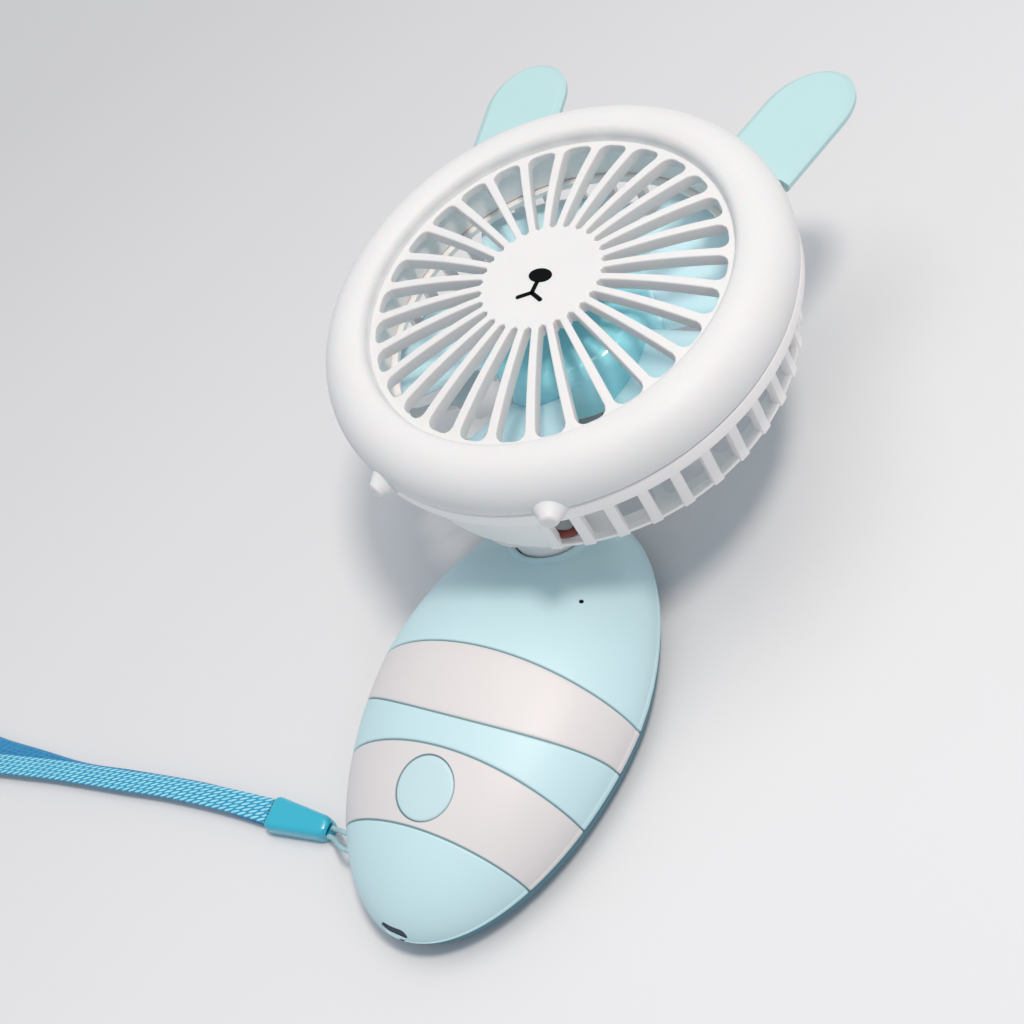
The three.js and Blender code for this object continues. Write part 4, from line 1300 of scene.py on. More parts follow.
@dataclass
class FrontCover:
    """The domed grille with its hub disc and the hollow rounded ring round it."""

    slot_count: int = 28
    slot_inner: float = 13.2 * MM
    slot_outer: float = 39.2 * MM
    slot_ribs: tuple[float, float] = (1.6 * MM, 2.15 * MM)
    slot_corner: float = 1.9 * MM
    slot_rim: float = 0.35 * MM
    hub_radius: float = 11.1 * MM
    hub_height: float = 3.6 * MM
    hub_rings: tuple[float, ...] = (1.0, 0.66, 0.33)
    plate_inner: float = 12.0 * MM
    plate_outer: float = 40.5 * MM
    core_radius: float = 44.5 * MM
    tube_radius: float = 7.9 * MM
    core_z: float = -4.5 * MM
    wall: float = 1.5 * MM
    rib_height: float = 3.0 * MM
    parting_z: float = -7.0 * MM
    parting_soft: float = 0.2 * MM
    step_draft: float = 0.3 * MM
    step_round: float = 2.3 * MM
    step_wall: float = 1.4 * MM
    ring_rows: int = 28
    skirt_radius: float = 40.0 * MM
    skirt_wall: float = 1.3 * MM
    skirt_low: float = -9.4 * MM
    skirt_high: float = -0.9 * MM
    nub_x: float = 20.0 * MM
    nub_y: float = -48.7 * MM
    nub_z: float = -6.3 * MM
    nub_root: float = 5.5 * MM
    nub_tip: float = 2.1 * MM
    nub_reach: float = 55.2 * MM
    nub_start: float = 49.0 * MM
    nub_round: float = 0.9 * MM

    def top(self, radius: float) -> float:
        """Height of the domed plate's outside at a radius."""
        share = max(radius - self.hub_radius, 0.0) / (self.plate_outer - self.hub_radius)
        return self.hub_height * (1 - share * share)

    def under(self, radius: float) -> float:
        """Height of the plate's inside at a radius."""
        low = self.plate_outer - 2 * self.wall
        share = min(max((radius - low) / (self.plate_outer - low), 0.0), 1.0)
        return self.top(radius) - self.rib_height + (self.rib_height - self.wall) * share

    def outward(self, point: Vector) -> Vector | None:
        """Takes the outside's normal where a point lies on the plate or on the ring.

        Args:
            point: The point.

        Returns:
            The normal, or None elsewhere.
        """
        near = 0.01 * MM
        place = point - HEAD_CENTRE
        radius = math.hypot(place.x, place.y)
        from_core = Vector((radius - self.core_radius, place.z - self.core_z))
        if abs(from_core.length - self.tube_radius) < near:
            slope = from_core.normalized()
        elif radius < self.plate_outer + near and abs(place.z - self.top(radius)) < near:
            reach = self.plate_outer - self.hub_radius
            share = max(radius - self.hub_radius, 0.0) / reach
            slope = Vector((2 * self.hub_height * share / reach, 1.0)).normalized()
        else:
            return None
        if radius < near:
            return Vector((0, 0, 1))
        return Vector((place.x / radius * slope.x, place.y / radius * slope.x, slope.y))

    def add_hub(self, draft: Draft, disc: SlottedDisc) -> None:
        """Adds the disc in the middle.

        Args:
            draft: The draft.
            disc: The slotted plate round it.
        """
        sides = disc.count * disc.inner_steps
        radii = (self.plate_inner, *(self.hub_radius * share for share in self.hub_rings))
        for height in (self.top, self.under):
            rows = [circle(radius, sides, height(radius), start=disc.first_angle) for radius in radii]
            draft.faces.append(tuple(draft.stack(rows, capped=False)[-1]))

    def ring_profile(self) -> Outline:
        """Lists the ring's section from the plate's outer edge round the outside to the inside."""
        places = [(self.plate_outer, self.top(self.plate_outer))]
        edge = self.plate_outer + self.step_draft + self.step_round
        middle = self.tube_radius - self.step_round
        first = math.acos((edge - self.core_radius) / middle)
        lip = self.core_z + middle * math.sin(first)
        places += arc((edge, lip), self.step_round, math.pi, first, 10)[:-1]
        core = (self.core_radius, self.core_z)
        last = math.asin((self.parting_z - self.core_z) / self.tube_radius)
        places += arc(core, self.tube_radius, first, last, self.ring_rows)
        places[-1] = (places[-1][0], self.parting_z + self.parting_soft)
        places.append((places[-1][0] - self.parting_soft, self.parting_z))
        inner = self.tube_radius - self.wall
        step = self.plate_outer + self.step_wall
        first = math.asin((self.parting_z - self.core_z) / inner)
        last = math.acos((step - self.core_radius) / inner)
        places += arc(core, inner, first, last, 8)
        places.append((step, -self.wall))
        places.append((self.plate_outer, self.under(self.plate_outer)))
        return places

    def add_ring(self, draft: Draft, disc: SlottedDisc) -> None:
        """Adds the hollow ring.

        Args:
            draft: The draft.
            disc: The slotted plate inside it.
        """
        sides = disc.count * disc.outer_steps
        draft.stack(
            [circle(radius, sides, height, start=disc.first_angle) for radius, height in self.ring_profile()],
            capped=False,
        )

    def build_nub(self, side: int) -> bpy.types.Object:
        """Builds a blunt little foot that stands out of the ring's lower edge.

        Args:
            side: -1 for the left, 1 for the right.

        Returns:
            The piece.
        """
        draft = Draft()
        lean = Matrix.Rotation(math.atan2(self.nub_y, side * self.nub_x), 3, "Z")
        rows = []
        places = [(self.nub_start, self.nub_root)]
        for inset, depth in quarter(self.nub_round, 6):
            places.append((self.nub_reach - depth, self.nub_tip - inset))
        for reach, radius in places:
            rows.append([
                HEAD_CENTRE + lean @ Vector((reach, aside, self.nub_z + rise))
                for aside, rise, _ in circle(radius, 40, 0.0)
            ])
        draft.stack(rows)
        return draft.build("foot_left" if side < 0 else "foot_right", 50.0)

    def build(self) -> None:
        """Builds the cover, its skirt and its two feet, and dresses them."""
        draft = Draft()
        disc = SlottedDisc(
            count=self.slot_count, inner=self.slot_inner, outer=self.slot_outer, corner=self.slot_corner,
            rib_inner=self.slot_ribs[0], rib_outer=self.slot_ribs[1], rim=self.slot_rim,
            plate_inner=self.plate_inner, plate_outer=self.plate_outer, top=self.top, under=self.under,
        )
        disc.add_to(draft)
        self.add_hub(draft, disc)
        self.add_ring(draft, disc)
        draft.shift(HEAD_CENTRE)
        cover = draft.build("grille_cover", 40.0)
        polish(cover, self.outward, 0.8)
        settle(cover, Body.HEAD, HEAD_WHITE, "front_cover")
        skirt = Draft()
        skirt.tube(self.skirt_radius, self.skirt_wall, self.skirt_low, self.skirt_high, 224)
        settle(skirt.build("cover_skirt"), Body.HEAD, HOUSING_WHITE, "front_cover")
        for side in (-1, 1):
            settle(self.build_nub(side), Body.HEAD, HEAD_WHITE, "front_cover")


@dataclass
class RearHousing:
    """The band behind the ring, the cage of upright ribs, the hoop and the rear grille."""

    band_radius: float = 52.0 * MM
    band_top: float = -7.3 * MM
    band_low: float = -11.0 * MM
    cage_radius: float = 46.8 * MM
    post_radius: float = 47.2 * MM
    post_low: float = -27.5 * MM
    cage_wall: float = 1.6 * MM
    rib_count: int = 40
    rib_width: float = 2.35 * MM
    first_degrees: float = -66.6
    solid_degrees: tuple[float, float] = (-120.0, -78.0)
    window_top: float = -11.4 * MM
    window_low: float = -26.5 * MM
    window_corner: float = 0.5 * MM
    rim: float = 0.22 * MM
    upper_border: float = -11.1 * MM
    lower_border: float = -26.8 * MM
    depth: float = 27.9 * MM
    plate: float = 1.6 * MM
    grille_rib: float = 2.2 * MM
    grille_inner: float = 15.0 * MM
    grille_middle: float = 29.0 * MM
    grille_lap: float = 0.2 * MM
    ledge_radius: float = 38.6 * MM
    ledge_high: float = -9.8 * MM
    side_steps: int = 6
    across_steps: int = 8
    seat_radius: float = 12.3 * MM
    seat_wall: float = 1.4 * MM
    seat_height: float = 7.0 * MM

    @property
    def pitch(self) -> float:
        """Angle from one rib to the next."""
        return 2 * math.pi / self.rib_count

    def is_solid(self, angle: float) -> bool:
        """Whether the wall is closed at an angle."""
        low, high = (math.radians(degrees) for degrees in self.solid_degrees)
        return low < math.atan2(math.sin(angle), math.cos(angle)) < high

    def frame_loop(self, half: float, low: float, high: float, spread: Sequence[float]) -> Outline:
        """Lists a rectangle, point for point alike for every size.

        Args:
            half: Half its width.
            low: Its lower side.
            high: Its upper side.
            spread: Where the points lie along the lower and upper side, from -1 to 1.

        Returns:
            Place across and height of each point.
        """
        rise = [low + (high - low) * i / self.side_steps for i in range(1, self.side_steps)]
        loop = [(half * share, low) for share in spread]
        loop += [(half, z) for z in rise]
        loop += [(half * share, high) for share in reversed(spread)]
        loop += [(-half, z) for z in reversed(rise)]
        return loop

    def window_loop(self, grow: float) -> Outline:
        """Lists a window's outline with round corners, grown by a distance.

        Args:
            grow: The distance.

        Returns:
            Place across, along the cage, and height of each point.
        """
        half = (self.pitch * self.cage_radius - self.rib_width) / 2 + grow
        low, high = self.window_low - grow, self.window_top + grow
        corner = self.window_corner + grow
        spread = [-1.0, -1 + corner * 0.4 / half, -1 + corner / half, -0.25, 0.0]
        spread += [-share for share in reversed(spread[:-1])]
        loop = []
        for x, z in self.frame_loop(half, low, high, spread):
            core_x = min(max(x, corner - half), half - corner)
            core_z = min(max(z, low + corner), high - corner)
            away = Vector((x - core_x, z - core_z))
            if away.length > 0:
                away = away.normalized() * corner
            loop.append((core_x + away.x, core_z + away.y))
        return loop

    def on_cage(self, loop: Outline, radius: float, centre: float) -> list[Vector]:
        """Wraps an outline round the cage.

        Args:
            loop: Place across at the cage's outside, and height.
            radius: The radius it is wrapped at.
            centre: Angle of its middle.

        Returns:
            The points.
        """
        points = []
        for x, z in loop:
            angle = centre + x / self.cage_radius
            points.append(Vector((radius * math.cos(angle), radius * math.sin(angle), z)))
        return points

    def add_cage(self, draft: Draft) -> None:
        """Adds the wall with its windows.

        Args:
            draft: The draft.
        """
        spread = [2 * i / self.across_steps - 1 for i in range(self.across_steps + 1)]
        half = self.pitch * self.cage_radius / 2
        border = self.frame_loop(half, self.lower_border, self.upper_border, spread)
        inside = self.cage_radius - self.cage_wall
        for index in range(self.rib_count):
            centre = math.radians(self.first_degrees) - self.pitch / 2 + self.pitch * index
            outer = draft.row(self.on_cage(border, self.cage_radius, centre))
            inner = draft.row(self.on_cage(border, inside, centre))
            if self.is_solid(centre):
                steps = self.across_steps
                count = len(border)
                for row, flip in ((outer, False), (inner, True)):
                    top = list(reversed(row[steps + self.side_steps : 2 * steps + self.side_steps + 1]))
                    left = [row[0]] + list(reversed(row[count - self.side_steps + 1 :])) + [top[0]]
                    right = row[steps : steps + self.side_steps + 1]
                    self.fill(draft, (row[: steps + 1], top, left, right), flip)
                continue
            row = draft.row(self.on_cage(self.window_loop(0.0), inside, centre))
            draft.bridge(inner, row)
            for inset, depth in quarter(self.rim, 3):
                upper = draft.row(self.on_cage(self.window_loop(inset), self.cage_radius - depth, centre))
                draft.bridge(row, upper)
                row = upper
            draft.bridge(row, outer)

    def add_posts(self, draft: Draft) -> None:
        """Adds the raised outer side of each rib, which ends in a small foot below the hoop.

        Args:
            draft: The draft.
        """
        half = self.rib_width / 2
        soft = 0.3 * MM
        foot = 0.12 * MM
        inside = self.cage_radius - self.cage_wall / 2
        levels = [
            (self.upper_border + soft, 0.0), (self.window_low + 4 * foot, 0.0), (self.window_low, foot),
            (self.post_low + soft, foot), (self.post_low, foot - soft),
        ]
        for index in range(self.rib_count):
            angle = math.radians(self.first_degrees) + self.pitch * index
            if self.is_solid(angle - self.pitch / 2) and self.is_solid(angle + self.pitch / 2):
                continue
            turn = Matrix.Rotation(angle, 3, "Z")
            rows = []
            for z, spread in levels:
                wide, far = half + spread, self.post_radius + spread
                rows.append([
                    turn @ Vector((x, y, z)) for x, y in (
                        (inside, -wide), (far - soft, -wide), (far - soft * 0.3, -wide + soft * 0.3),
                        (far, -wide + soft), (far, wide - soft), (far - soft * 0.3, wide - soft * 0.3),
                        (far - soft, wide), (inside, wide),
                    )
                ])
            draft.stack(rows)

    @staticmethod
    def fill(draft: Draft, sides: Sequence[Sequence[int]], flip: bool) -> None:
        """Fills a four-sided patch of the round wall with a grid.

        Args:
            draft: The draft.
            sides: Corners of the patch's lower, upper, left and right side.
            flip: Whether the faces look the other way.
        """
        low, top, left, right = sides
        rows = [list(low)]
        for i in range(1, len(left) - 1):
            share = i / (len(left) - 1)
            middle = [draft.corners[a].lerp(draft.corners[b], share) for a, b in zip(low[1:-1], top[1:-1])]
            rows.append([left[i]] + draft.row(middle) + [right[i]])
        rows.append(list(top))
        for lower, upper in zip(rows, rows[1:]):
            draft.bridge(upper if flip else lower, lower if flip else upper, closed=False)

    def add_rims(self, draft: Draft) -> None:
        """Adds the band, the ledge inside it and the hoop.

        Args:
            draft: The draft.
        """
        outer, inside = self.cage_radius, self.cage_radius - self.cage_wall
        soft = 0.5 * MM
        band = [
            (outer, self.upper_border),
            (outer + soft / 4, self.band_low),
            (self.band_radius - soft, self.band_low),
            (self.band_radius - soft / 4, self.band_low + soft / 3),
            (self.band_radius, self.band_low + soft),
            (self.band_radius, self.band_top - soft / 2),
            (self.band_radius - soft / 2, self.band_top),
            (self.band_radius - self.cage_wall, self.band_top),
            (self.band_radius - self.cage_wall, self.ledge_high + soft),
            (self.ledge_radius, self.ledge_high),
            (self.ledge_radius, self.ledge_high - self.cage_wall * 0.75),
            (inside, self.upper_border),
        ]
        low = -self.depth
        hoop = [
            (outer, self.lower_border),
            (outer, low + 2 * soft),
            (outer - soft / 2, low + soft / 2),
            (outer - soft * 1.5, low),
            (inside + soft / 2, low),
            (inside, low + soft / 2),
            (inside, self.lower_border),
        ]
        sides = self.rib_count * self.across_steps
        start = math.radians(self.first_degrees)
        for profile in (band, hoop):
            rows = [circle(radius, sides, height, start=start) for radius, height in profile]
            draft.stack(rows, capped=False)

    def build_grille(self) -> bpy.types.Object:
        """Builds the rear grille, a flat plate with two rings of slots."""
        draft = Draft()
        edge = self.cage_radius - self.cage_wall + self.grille_lap
        outer = SlottedDisc(
            count=20, inner=30.2 * MM, outer=43.2 * MM, corner=2.0 * MM,
            rib_inner=self.grille_rib, rib_outer=self.grille_rib,
            plate_inner=self.grille_middle, plate_outer=edge,
            top=lambda _: self.plate, under=lambda _: 0.0,
            start_degrees=0.0, inner_steps=3, skipped=frozenset((4, 5, 6)),
        )
        inner = SlottedDisc(
            count=12, inner=16.8 * MM, outer=27.8 * MM, corner=1.6 * MM,
            rib_inner=self.grille_rib, rib_outer=self.grille_rib,
            plate_inner=self.grille_inner, plate_outer=self.grille_middle,
            top=lambda _: self.plate, under=lambda _: 0.0,
            start_degrees=0.0, inner_steps=3, middle_steps=1, corner_degrees=(45.0, 0.0),
            skipped=frozenset((3,)),
        )
        outer.add_to(draft)
        inner.add_to(draft)
        rim = [
            draft.row(circle(edge, outer.count * outer.outer_steps, z, start=outer.first_angle))
            for z in (0.0, self.plate)
        ]
        draft.bridge(rim[0], rim[1])
        for z in (0.0, self.plate):
            middle = circle(self.grille_inner, inner.count * inner.inner_steps, z, start=inner.first_angle)
            draft.faces.append(tuple(draft.row(middle)))
        turned = HEAD_CENTRE + Vector((0, 0, self.plate - self.depth))
        draft.corners = [turned + Vector((c.x, -c.y, -c.z)) for c in draft.corners]
        return draft.build("rear_grille", 40.0)

    def build(self) -> None:
        """Builds the housing, its grille and the motor's seat, and dresses them."""
        draft = Draft()
        self.add_cage(draft)
        self.add_posts(draft)
        self.add_rims(draft)
        draft.shift(HEAD_CENTRE)
        settle(draft.build("cage_housing", 40.0), Body.HEAD, HOUSING_WHITE, "rear_housing")
        settle(self.build_grille(), Body.HEAD, HOUSING_WHITE, "rear_housing")
        seat = Draft()
        floor = self.plate / 2 - self.depth
        seat.tube(self.seat_radius, self.seat_wall, floor, floor + self.seat_height, 64)
        settle(seat.build("motor_seat"), Body.HEAD, HOUSING_WHITE, "rear_housing")


@dataclass
class Ears:
    """The two ears: rounded tabs with a sloped rim, whose roots run in behind the ring."""

    tip_x: float = 38.3 * MM
    tip_y: float = 71.0 * MM
    tip_z: float = -8.1 * MM
    splay_degrees: float = 13.3
    lean_degrees: float = 5.6
    half_width: float = 10.0 * MM
    cap_length: float = 13.5 * MM
    thickness: float = 3.0 * MM
    slope: float = 1.5 * MM
    slope_depth: float = 0.8 * MM
    length: float = 46.0 * MM
    root_radius: float = 40.8 * MM
    shoulder: float = 34.0 * MM
    tongue_half: float = 3.2 * MM

    def outline(self, inset: float) -> Outline:
        """Lists the tab's outline, drawn inward.

        Args:
            inset: How far inward.

        Returns:
            Place across and along of each point.
        """
        half = self.half_width - inset
        steps = 10
        straight = self.shoulder - self.cap_length
        tongue = self.tongue_half - inset
        places = [(-tongue, -self.length), (tongue, -self.length), (tongue, -self.shoulder)]
        places += [(half, -self.shoulder + straight * i / steps) for i in range(steps)]
        for x, y in arc((0.0, 0.0), 1.0, 0.0, math.pi, 48):
            places.append((half * x, -self.cap_length + (self.cap_length - inset) * y))
        places += [(-half, -self.cap_length - straight * i / steps) for i in range(1, steps + 1)]
        places.append((-tongue, -self.shoulder))
        return places

    def build_ear(self, side: int) -> bpy.types.Object:
        """Builds one ear.

        Args:
            side: -1 for the left, 1 for the right.

        Returns:
            The piece.
        """
        draft = Draft()
        turn = Matrix.Rotation(math.radians(-side * self.splay_degrees), 3, "Z")
        turn = turn @ Matrix.Rotation(math.radians(-self.lean_degrees), 3, "X")
        tip = HEAD_CENTRE + Vector((side * self.tip_x, self.tip_y, self.tip_z))
        soft = 0.12 * MM
        section = [
            (self.slope_depth, -self.thickness),
            (soft, -self.thickness + self.slope_depth),
            (0.0, -self.thickness + self.slope_depth + soft),
            (0.0, -self.slope_depth - soft),
            (soft, -self.slope_depth),
            (self.slope - soft, -soft),
            (self.slope + soft, 0.0),
        ]
        draft.stack([
            [tip + turn @ Vector((x, y, z)) for x, y in self.outline(inset)] for inset, z in section
        ])
        ear = draft.build("left_ear" if side < 0 else "right_ear", 22.0)
        well = Draft()
        well.stack([
            [HEAD_CENTRE + Vector(point) for point in circle(self.root_radius, 96, z)]
            for z in (-self.root_radius / 2, self.root_radius / 2)
        ])
        cut(ear, well.build("ear_trim"), 22.0)
        return ear

    def build(self) -> None:
        """Builds both ears and dresses them."""
        settle(self.build_ear(-1), Body.HEAD, EAR_BLUE, "ear_left")
        settle(self.build_ear(1), Body.HEAD, EAR_BLUE, "ear_right")


@dataclass
class Rotor:
    """The hub cup and its five broad blades."""

    hub_radius: float = 19.0 * MM
    hub_top: float = -8.0 * MM
    hub_depth: float = 13.5 * MM
    hub_wall: float = 1.5 * MM
    hub_round: float = 3.4 * MM
    boss_radius: float = 3.0 * MM
    bore_radius: float = 1.3 * MM
    boss_depth: float = 5.0 * MM
    blade_count: int = 5
    first_degrees: float = 120.0
    lead_degrees: float = 28.0
    trail_degrees: float = -26.0
    blade_radius: float = 42.6 * MM
    blade_thickness: float = 1.1 * MM
    front_z: float = -13.2 * MM
    rear_z: float = -21.4 * MM
    steps: int = 24
    trim_start: float = 0.7
    trim_share: float = 0.09
    tip_thinning: float = 0.35
    edge_share: float = 0.35
    edge_rise: float = 10.0

    def build_hub(self) -> bpy.types.Object:
        """Builds the cup that covers the motor."""
        draft = Draft()
        centre = (self.hub_radius - self.hub_round, self.hub_top - self.hub_round)
        low = self.hub_top - self.hub_depth
        boss_low = self.hub_top - self.hub_wall - self.boss_depth
        profile = [(self.bore_radius, self.hub_top)] + arc(centre, self.hub_round, math.pi / 2, 0.0, 10)
        profile += [(self.hub_radius, low), (self.hub_radius - self.hub_wall, low)]
        profile += arc(centre, self.hub_round - self.hub_wall, 0.0, math.pi / 2, 10)
        profile += [
            (self.boss_radius, self.hub_top - self.hub_wall),
            (self.boss_radius, boss_low),
            (self.bore_radius, boss_low),
        ]
        draft.turn(profile, 96, HEAD_CENTRE)
        return draft.build("rotor_hub")

    def build_blades(self) -> bpy.types.Object:
        """Builds the blades as twisted plates with rounded outer corners."""
        draft = Draft()
        root = self.hub_radius - self.hub_wall / 2
        for index in range(self.blade_count):
            middle = math.radians(self.first_degrees + 360 * index / self.blade_count)
            rows = []
            for i in range(self.steps + 1):
                across = i / self.steps
                radius = root + (self.blade_radius - root) * across
                pull = max(across - self.trim_start, 0.0) / (1 - self.trim_start)
                trim = self.trim_share * pull * pull
                thin = self.blade_thickness / 2 * (1 - self.tip_thinning * across)
                over, under = [], []
                for j in range(self.steps + 1):
                    turn = trim + (1 - 2 * trim) * j / self.steps
                    degrees = self.trail_degrees + (self.lead_degrees - self.trail_degrees) * turn
                    angle = middle + math.radians(degrees)
                    z = self.rear_z + (self.front_z - self.rear_z) * turn
                    edge = min(j, self.steps - j) / self.steps
                    half = thin * min(1.0, self.edge_share + edge * self.edge_rise)
                    x, y = radius * math.cos(angle), radius * math.sin(angle)
                    over.append(HEAD_CENTRE + Vector((x, y, z + half)))
                    under.append(HEAD_CENTRE + Vector((x, y, z - half)))
                rows.append(over + list(reversed(under)))
            draft.stack(rows)
        return draft.build("rotor_blades", 50.0)

    def build(self) -> None:
        """Builds the hub and the blades and dresses them."""
        settle(self.build_hub(), Body.ROTOR, HUB_TEAL, "rotor")
        settle(self.build_blades(), Body.ROTOR, BLADE_CYAN, "rotor")


@dataclass
class Neck:
    """The round post between the head and the handle's notch."""

    radius: float = 7.25 * MM
    bore: float = 2.6 * MM
    top_z: float = 32.9 * MM
    flare_radius: float = 11.0 * MM
    flare_height: float = 5.0 * MM
    flare_power: float = 2.2

    def build(self) -> None:
        """Builds the post and dresses it."""
        draft = Draft()
        low = arc((0.0, HINGE.z), self.radius, -math.pi / 2, 0.0, 16)[1:]
        flare = []
        for i in range(9):
            share = i / 8
            spread = (self.flare_radius - self.radius) * share**self.flare_power
            flare.append((self.radius + spread, self.top_z - self.flare_height * (1 - share)))
        profile = low + flare + [(self.bore, self.top_z), (self.bore, HINGE.z + self.radius)]
        profile.append((0.0, HINGE.z + self.radius))
        profile.append((0.0, HINGE.z - self.radius))
        draft.turn(profile, 72, (0.0, HINGE.y, 0.0))
        settle(draft.build("neck"), Body.HEAD, HOUSING_WHITE, "neck_post")


@dataclass
class FacePrint:
    """The nose and mouth printed on the hub disc."""

    nose_half_width: float = 2.7 * MM
    nose_half_height: float = 1.8 * MM
    nose_y: float = 0.1 * MM
    stem_low: float = -4.5 * MM
    arm_x: float = 2.7 * MM
    arm_low: float = -6.0 * MM
    stroke: float = 0.95 * MM
    ink: float = 0.06 * MM
    disc_z: float = 3.6 * MM

    def build(self) -> None:
        """Builds the print as thin raised shapes and dresses it."""
        draft = Draft()
        floor = self.disc_z - self.ink
        top = self.disc_z + 2 * self.ink
        nose = [
            (x * self.nose_half_width, self.nose_y + y * self.nose_half_height)
            for x, y, _ in circle(1.0, 48, 0.0)
        ]
        self.slab(draft, nose, floor, top)
        joint = Vector((0.0, self.stem_low))
        self.line(draft, Vector((0.0, self.nose_y - self.nose_half_height * 0.9)), joint, floor, top)
        for side in (-1, 1):
            self.line(draft, joint, Vector((side * self.arm_x, self.arm_low)), floor, top)
        draft.shift(HEAD_CENTRE)
        settle(draft.build("face_print", 40.0), Body.HEAD, PRINT_BLACK)

    @staticmethod
    def slab(draft: Draft, loop: Outline, low: float, high: float) -> None:
        """Adds a thin slab between two heights."""
        draft.stack([[(x, y, z) for x, y in loop] for z in (low, high)])

    def line(self, draft: Draft, start: Vector, end: Vector, low: float, high: float) -> None:
        """Adds a straight stroke whose far end is round.

        Args:
            draft: The draft.
            start: Where it starts.
            end: Where it ends.
            low: Its underside.
            high: Its top.
        """
        ahead = (end - start).normalized() * (self.stroke / 2)
        aside = Vector((-ahead.y, ahead.x))
        half_turn = arc((0.0, 0.0), 1.0, -math.pi / 2, math.pi / 2, 8)
        loop = [start - aside, *(end + ahead * x + aside * y for x, y in half_turn), start + aside]
        self.slab(draft, [(point.x, point.y) for point in loop], low, high)


# Strap

BRAID_ROUTE_MM = (
    (-47.9, -33.9, 2.75), (-58, -34.2, 2.75), (-68, -34.8, 2.75), (-79, -35.8, 2.75), (-89, -37.1, 2.75),
    (-100, -38.4, 2.75), (-110, -39.6, 2.75), (-120.5, -41.2, 2.75), (-131, -43, 2.7), (-143, -46, 1.9),
    (-156, -49.2, 1), (-170, -51.4, 0.95), (-182, -48.6, 0.95), (-188.6, -40.6, 0.95), (-187.6, -31.4, 0.95),
    (-180, -26.6, 0.95), (-168, -28.4, 0.95), (-155, -33.4, 0.95), (-144, -37, 0.95), (-134, -38.3, 0.95),
    (-120.5, -38.2, 0.95), (-105, -38, 0.95), (-89, -36.1, 0.95), (-68, -34.1, 0.95), (-47.9, -33.9, 0.95),
)
CORD_ROUTE_MM = (
    (-30.5, -33.2, 2.7), (-28.2, -33.6, 3.7), (-26, -34.2, 6.2), (-23.9, -34.7, 7.9), (-21.4, -34.8, 8),
    (-19.2, -34.7, 8), (-17.4, -35.6, 8), (-17.4, -37.3, 8), (-19, -38.2, 8), (-21.2, -38.2, 8),
    (-23.2, -37.8, 7.6), (-26, -36.6, 5.6), (-28.2, -35.7, 3.7), (-30.5, -35.2, 2.7),
)


class Route:
    """A smooth line through points, walked at even steps."""

    def __init__(self, points_mm: Sequence[Place], fineness: int = 60) -> None:
        """Reads the points and measures the line.

        Args:
            points_mm: The points in millimetres.
            fineness: How many pieces each stretch is measured in.
        """
        points = [Vector(point) * MM for point in points_mm]
        self.line: list[Vector] = []
        padded = [points[0] * 2 - points[1]] + points + [points[-1] * 2 - points[-2]]
        for a, b, c, d in zip(padded, padded[1:], padded[2:], padded[3:]):
            for i in range(fineness):
                self.line.append(self.between(a, b, c, d, i / fineness))
        self.line.append(points[-1])
        self.reach = [0.0]
        for first, second in zip(self.line, self.line[1:]):
            self.reach.append(self.reach[-1] + (second - first).length)

    @staticmethod
    def between(a: Vector, b: Vector, c: Vector, d: Vector, share: float) -> Vector:
        """A point between the middle two of four points, on the smooth line through them.

        Args:
            a: The point before.
            b: The point that the stretch starts at.
            c: The point that it ends at.
            d: The point after.
            share: How far along the stretch.

        Returns:
            The point.
        """
        square, cube = share * share, share**3
        return 0.5 * (
            2 * b + (c - a) * share + (2 * a - 5 * b + 4 * c - d) * square + (3 * b - a - 3 * c + d) * cube
        )

    @property
    def length(self) -> float:
        """The line's length."""
        return self.reach[-1]

    def walk(self, step: float) -> list[tuple[Vector, Vector, float]]:
        """Walks the line.

        Args:
            step: About how long a step is.

        Returns:
            Point, direction and distance so far at each step.
        """
        count = max(2, round(self.length / step))
        places = []
        index = 0
        for i in range(count + 1):
            goal = self.length * i / count
            while index + 2 < len(self.reach) and self.reach[index + 1] < goal:
                index += 1
            span = self.reach[index + 1] - self.reach[index]
            share = (goal - self.reach[index]) / span
            point = self.line[index].lerp(self.line[index + 1], share)
            before = self.line[max(index - 3, 0)]
            after = self.line[min(index + 4, len(self.line) - 1)]
            places.append((point, (after - before).normalized(), goal))
        return places

    def sweep(self, step: float, around: int, up: Vector, arm: Callable[[float, float], float]) -> Draft:
        """Lays a tube along the line.

        Args:
            step: About how long a step is.
            around: How many sides the tube has.
            up: A direction that the line never takes.
            arm: The tube's radius at an angle round it and a distance along it.

        Returns:
            The tube's draft.
        """
        draft = Draft()
        rows = []
        for point, ahead, reach in self.walk(step):
            aside = up.cross(ahead).normalized()
            upward = ahead.cross(aside)
            row = []
            for i in range(around):
                angle = 2 * math.pi * i / around
                radius = arm(angle, reach)
                row.append(point + aside * math.cos(angle) * radius + upward * math.sin(angle) * radius)
            rows.append(row)
        draft.stack(rows)
        return draft


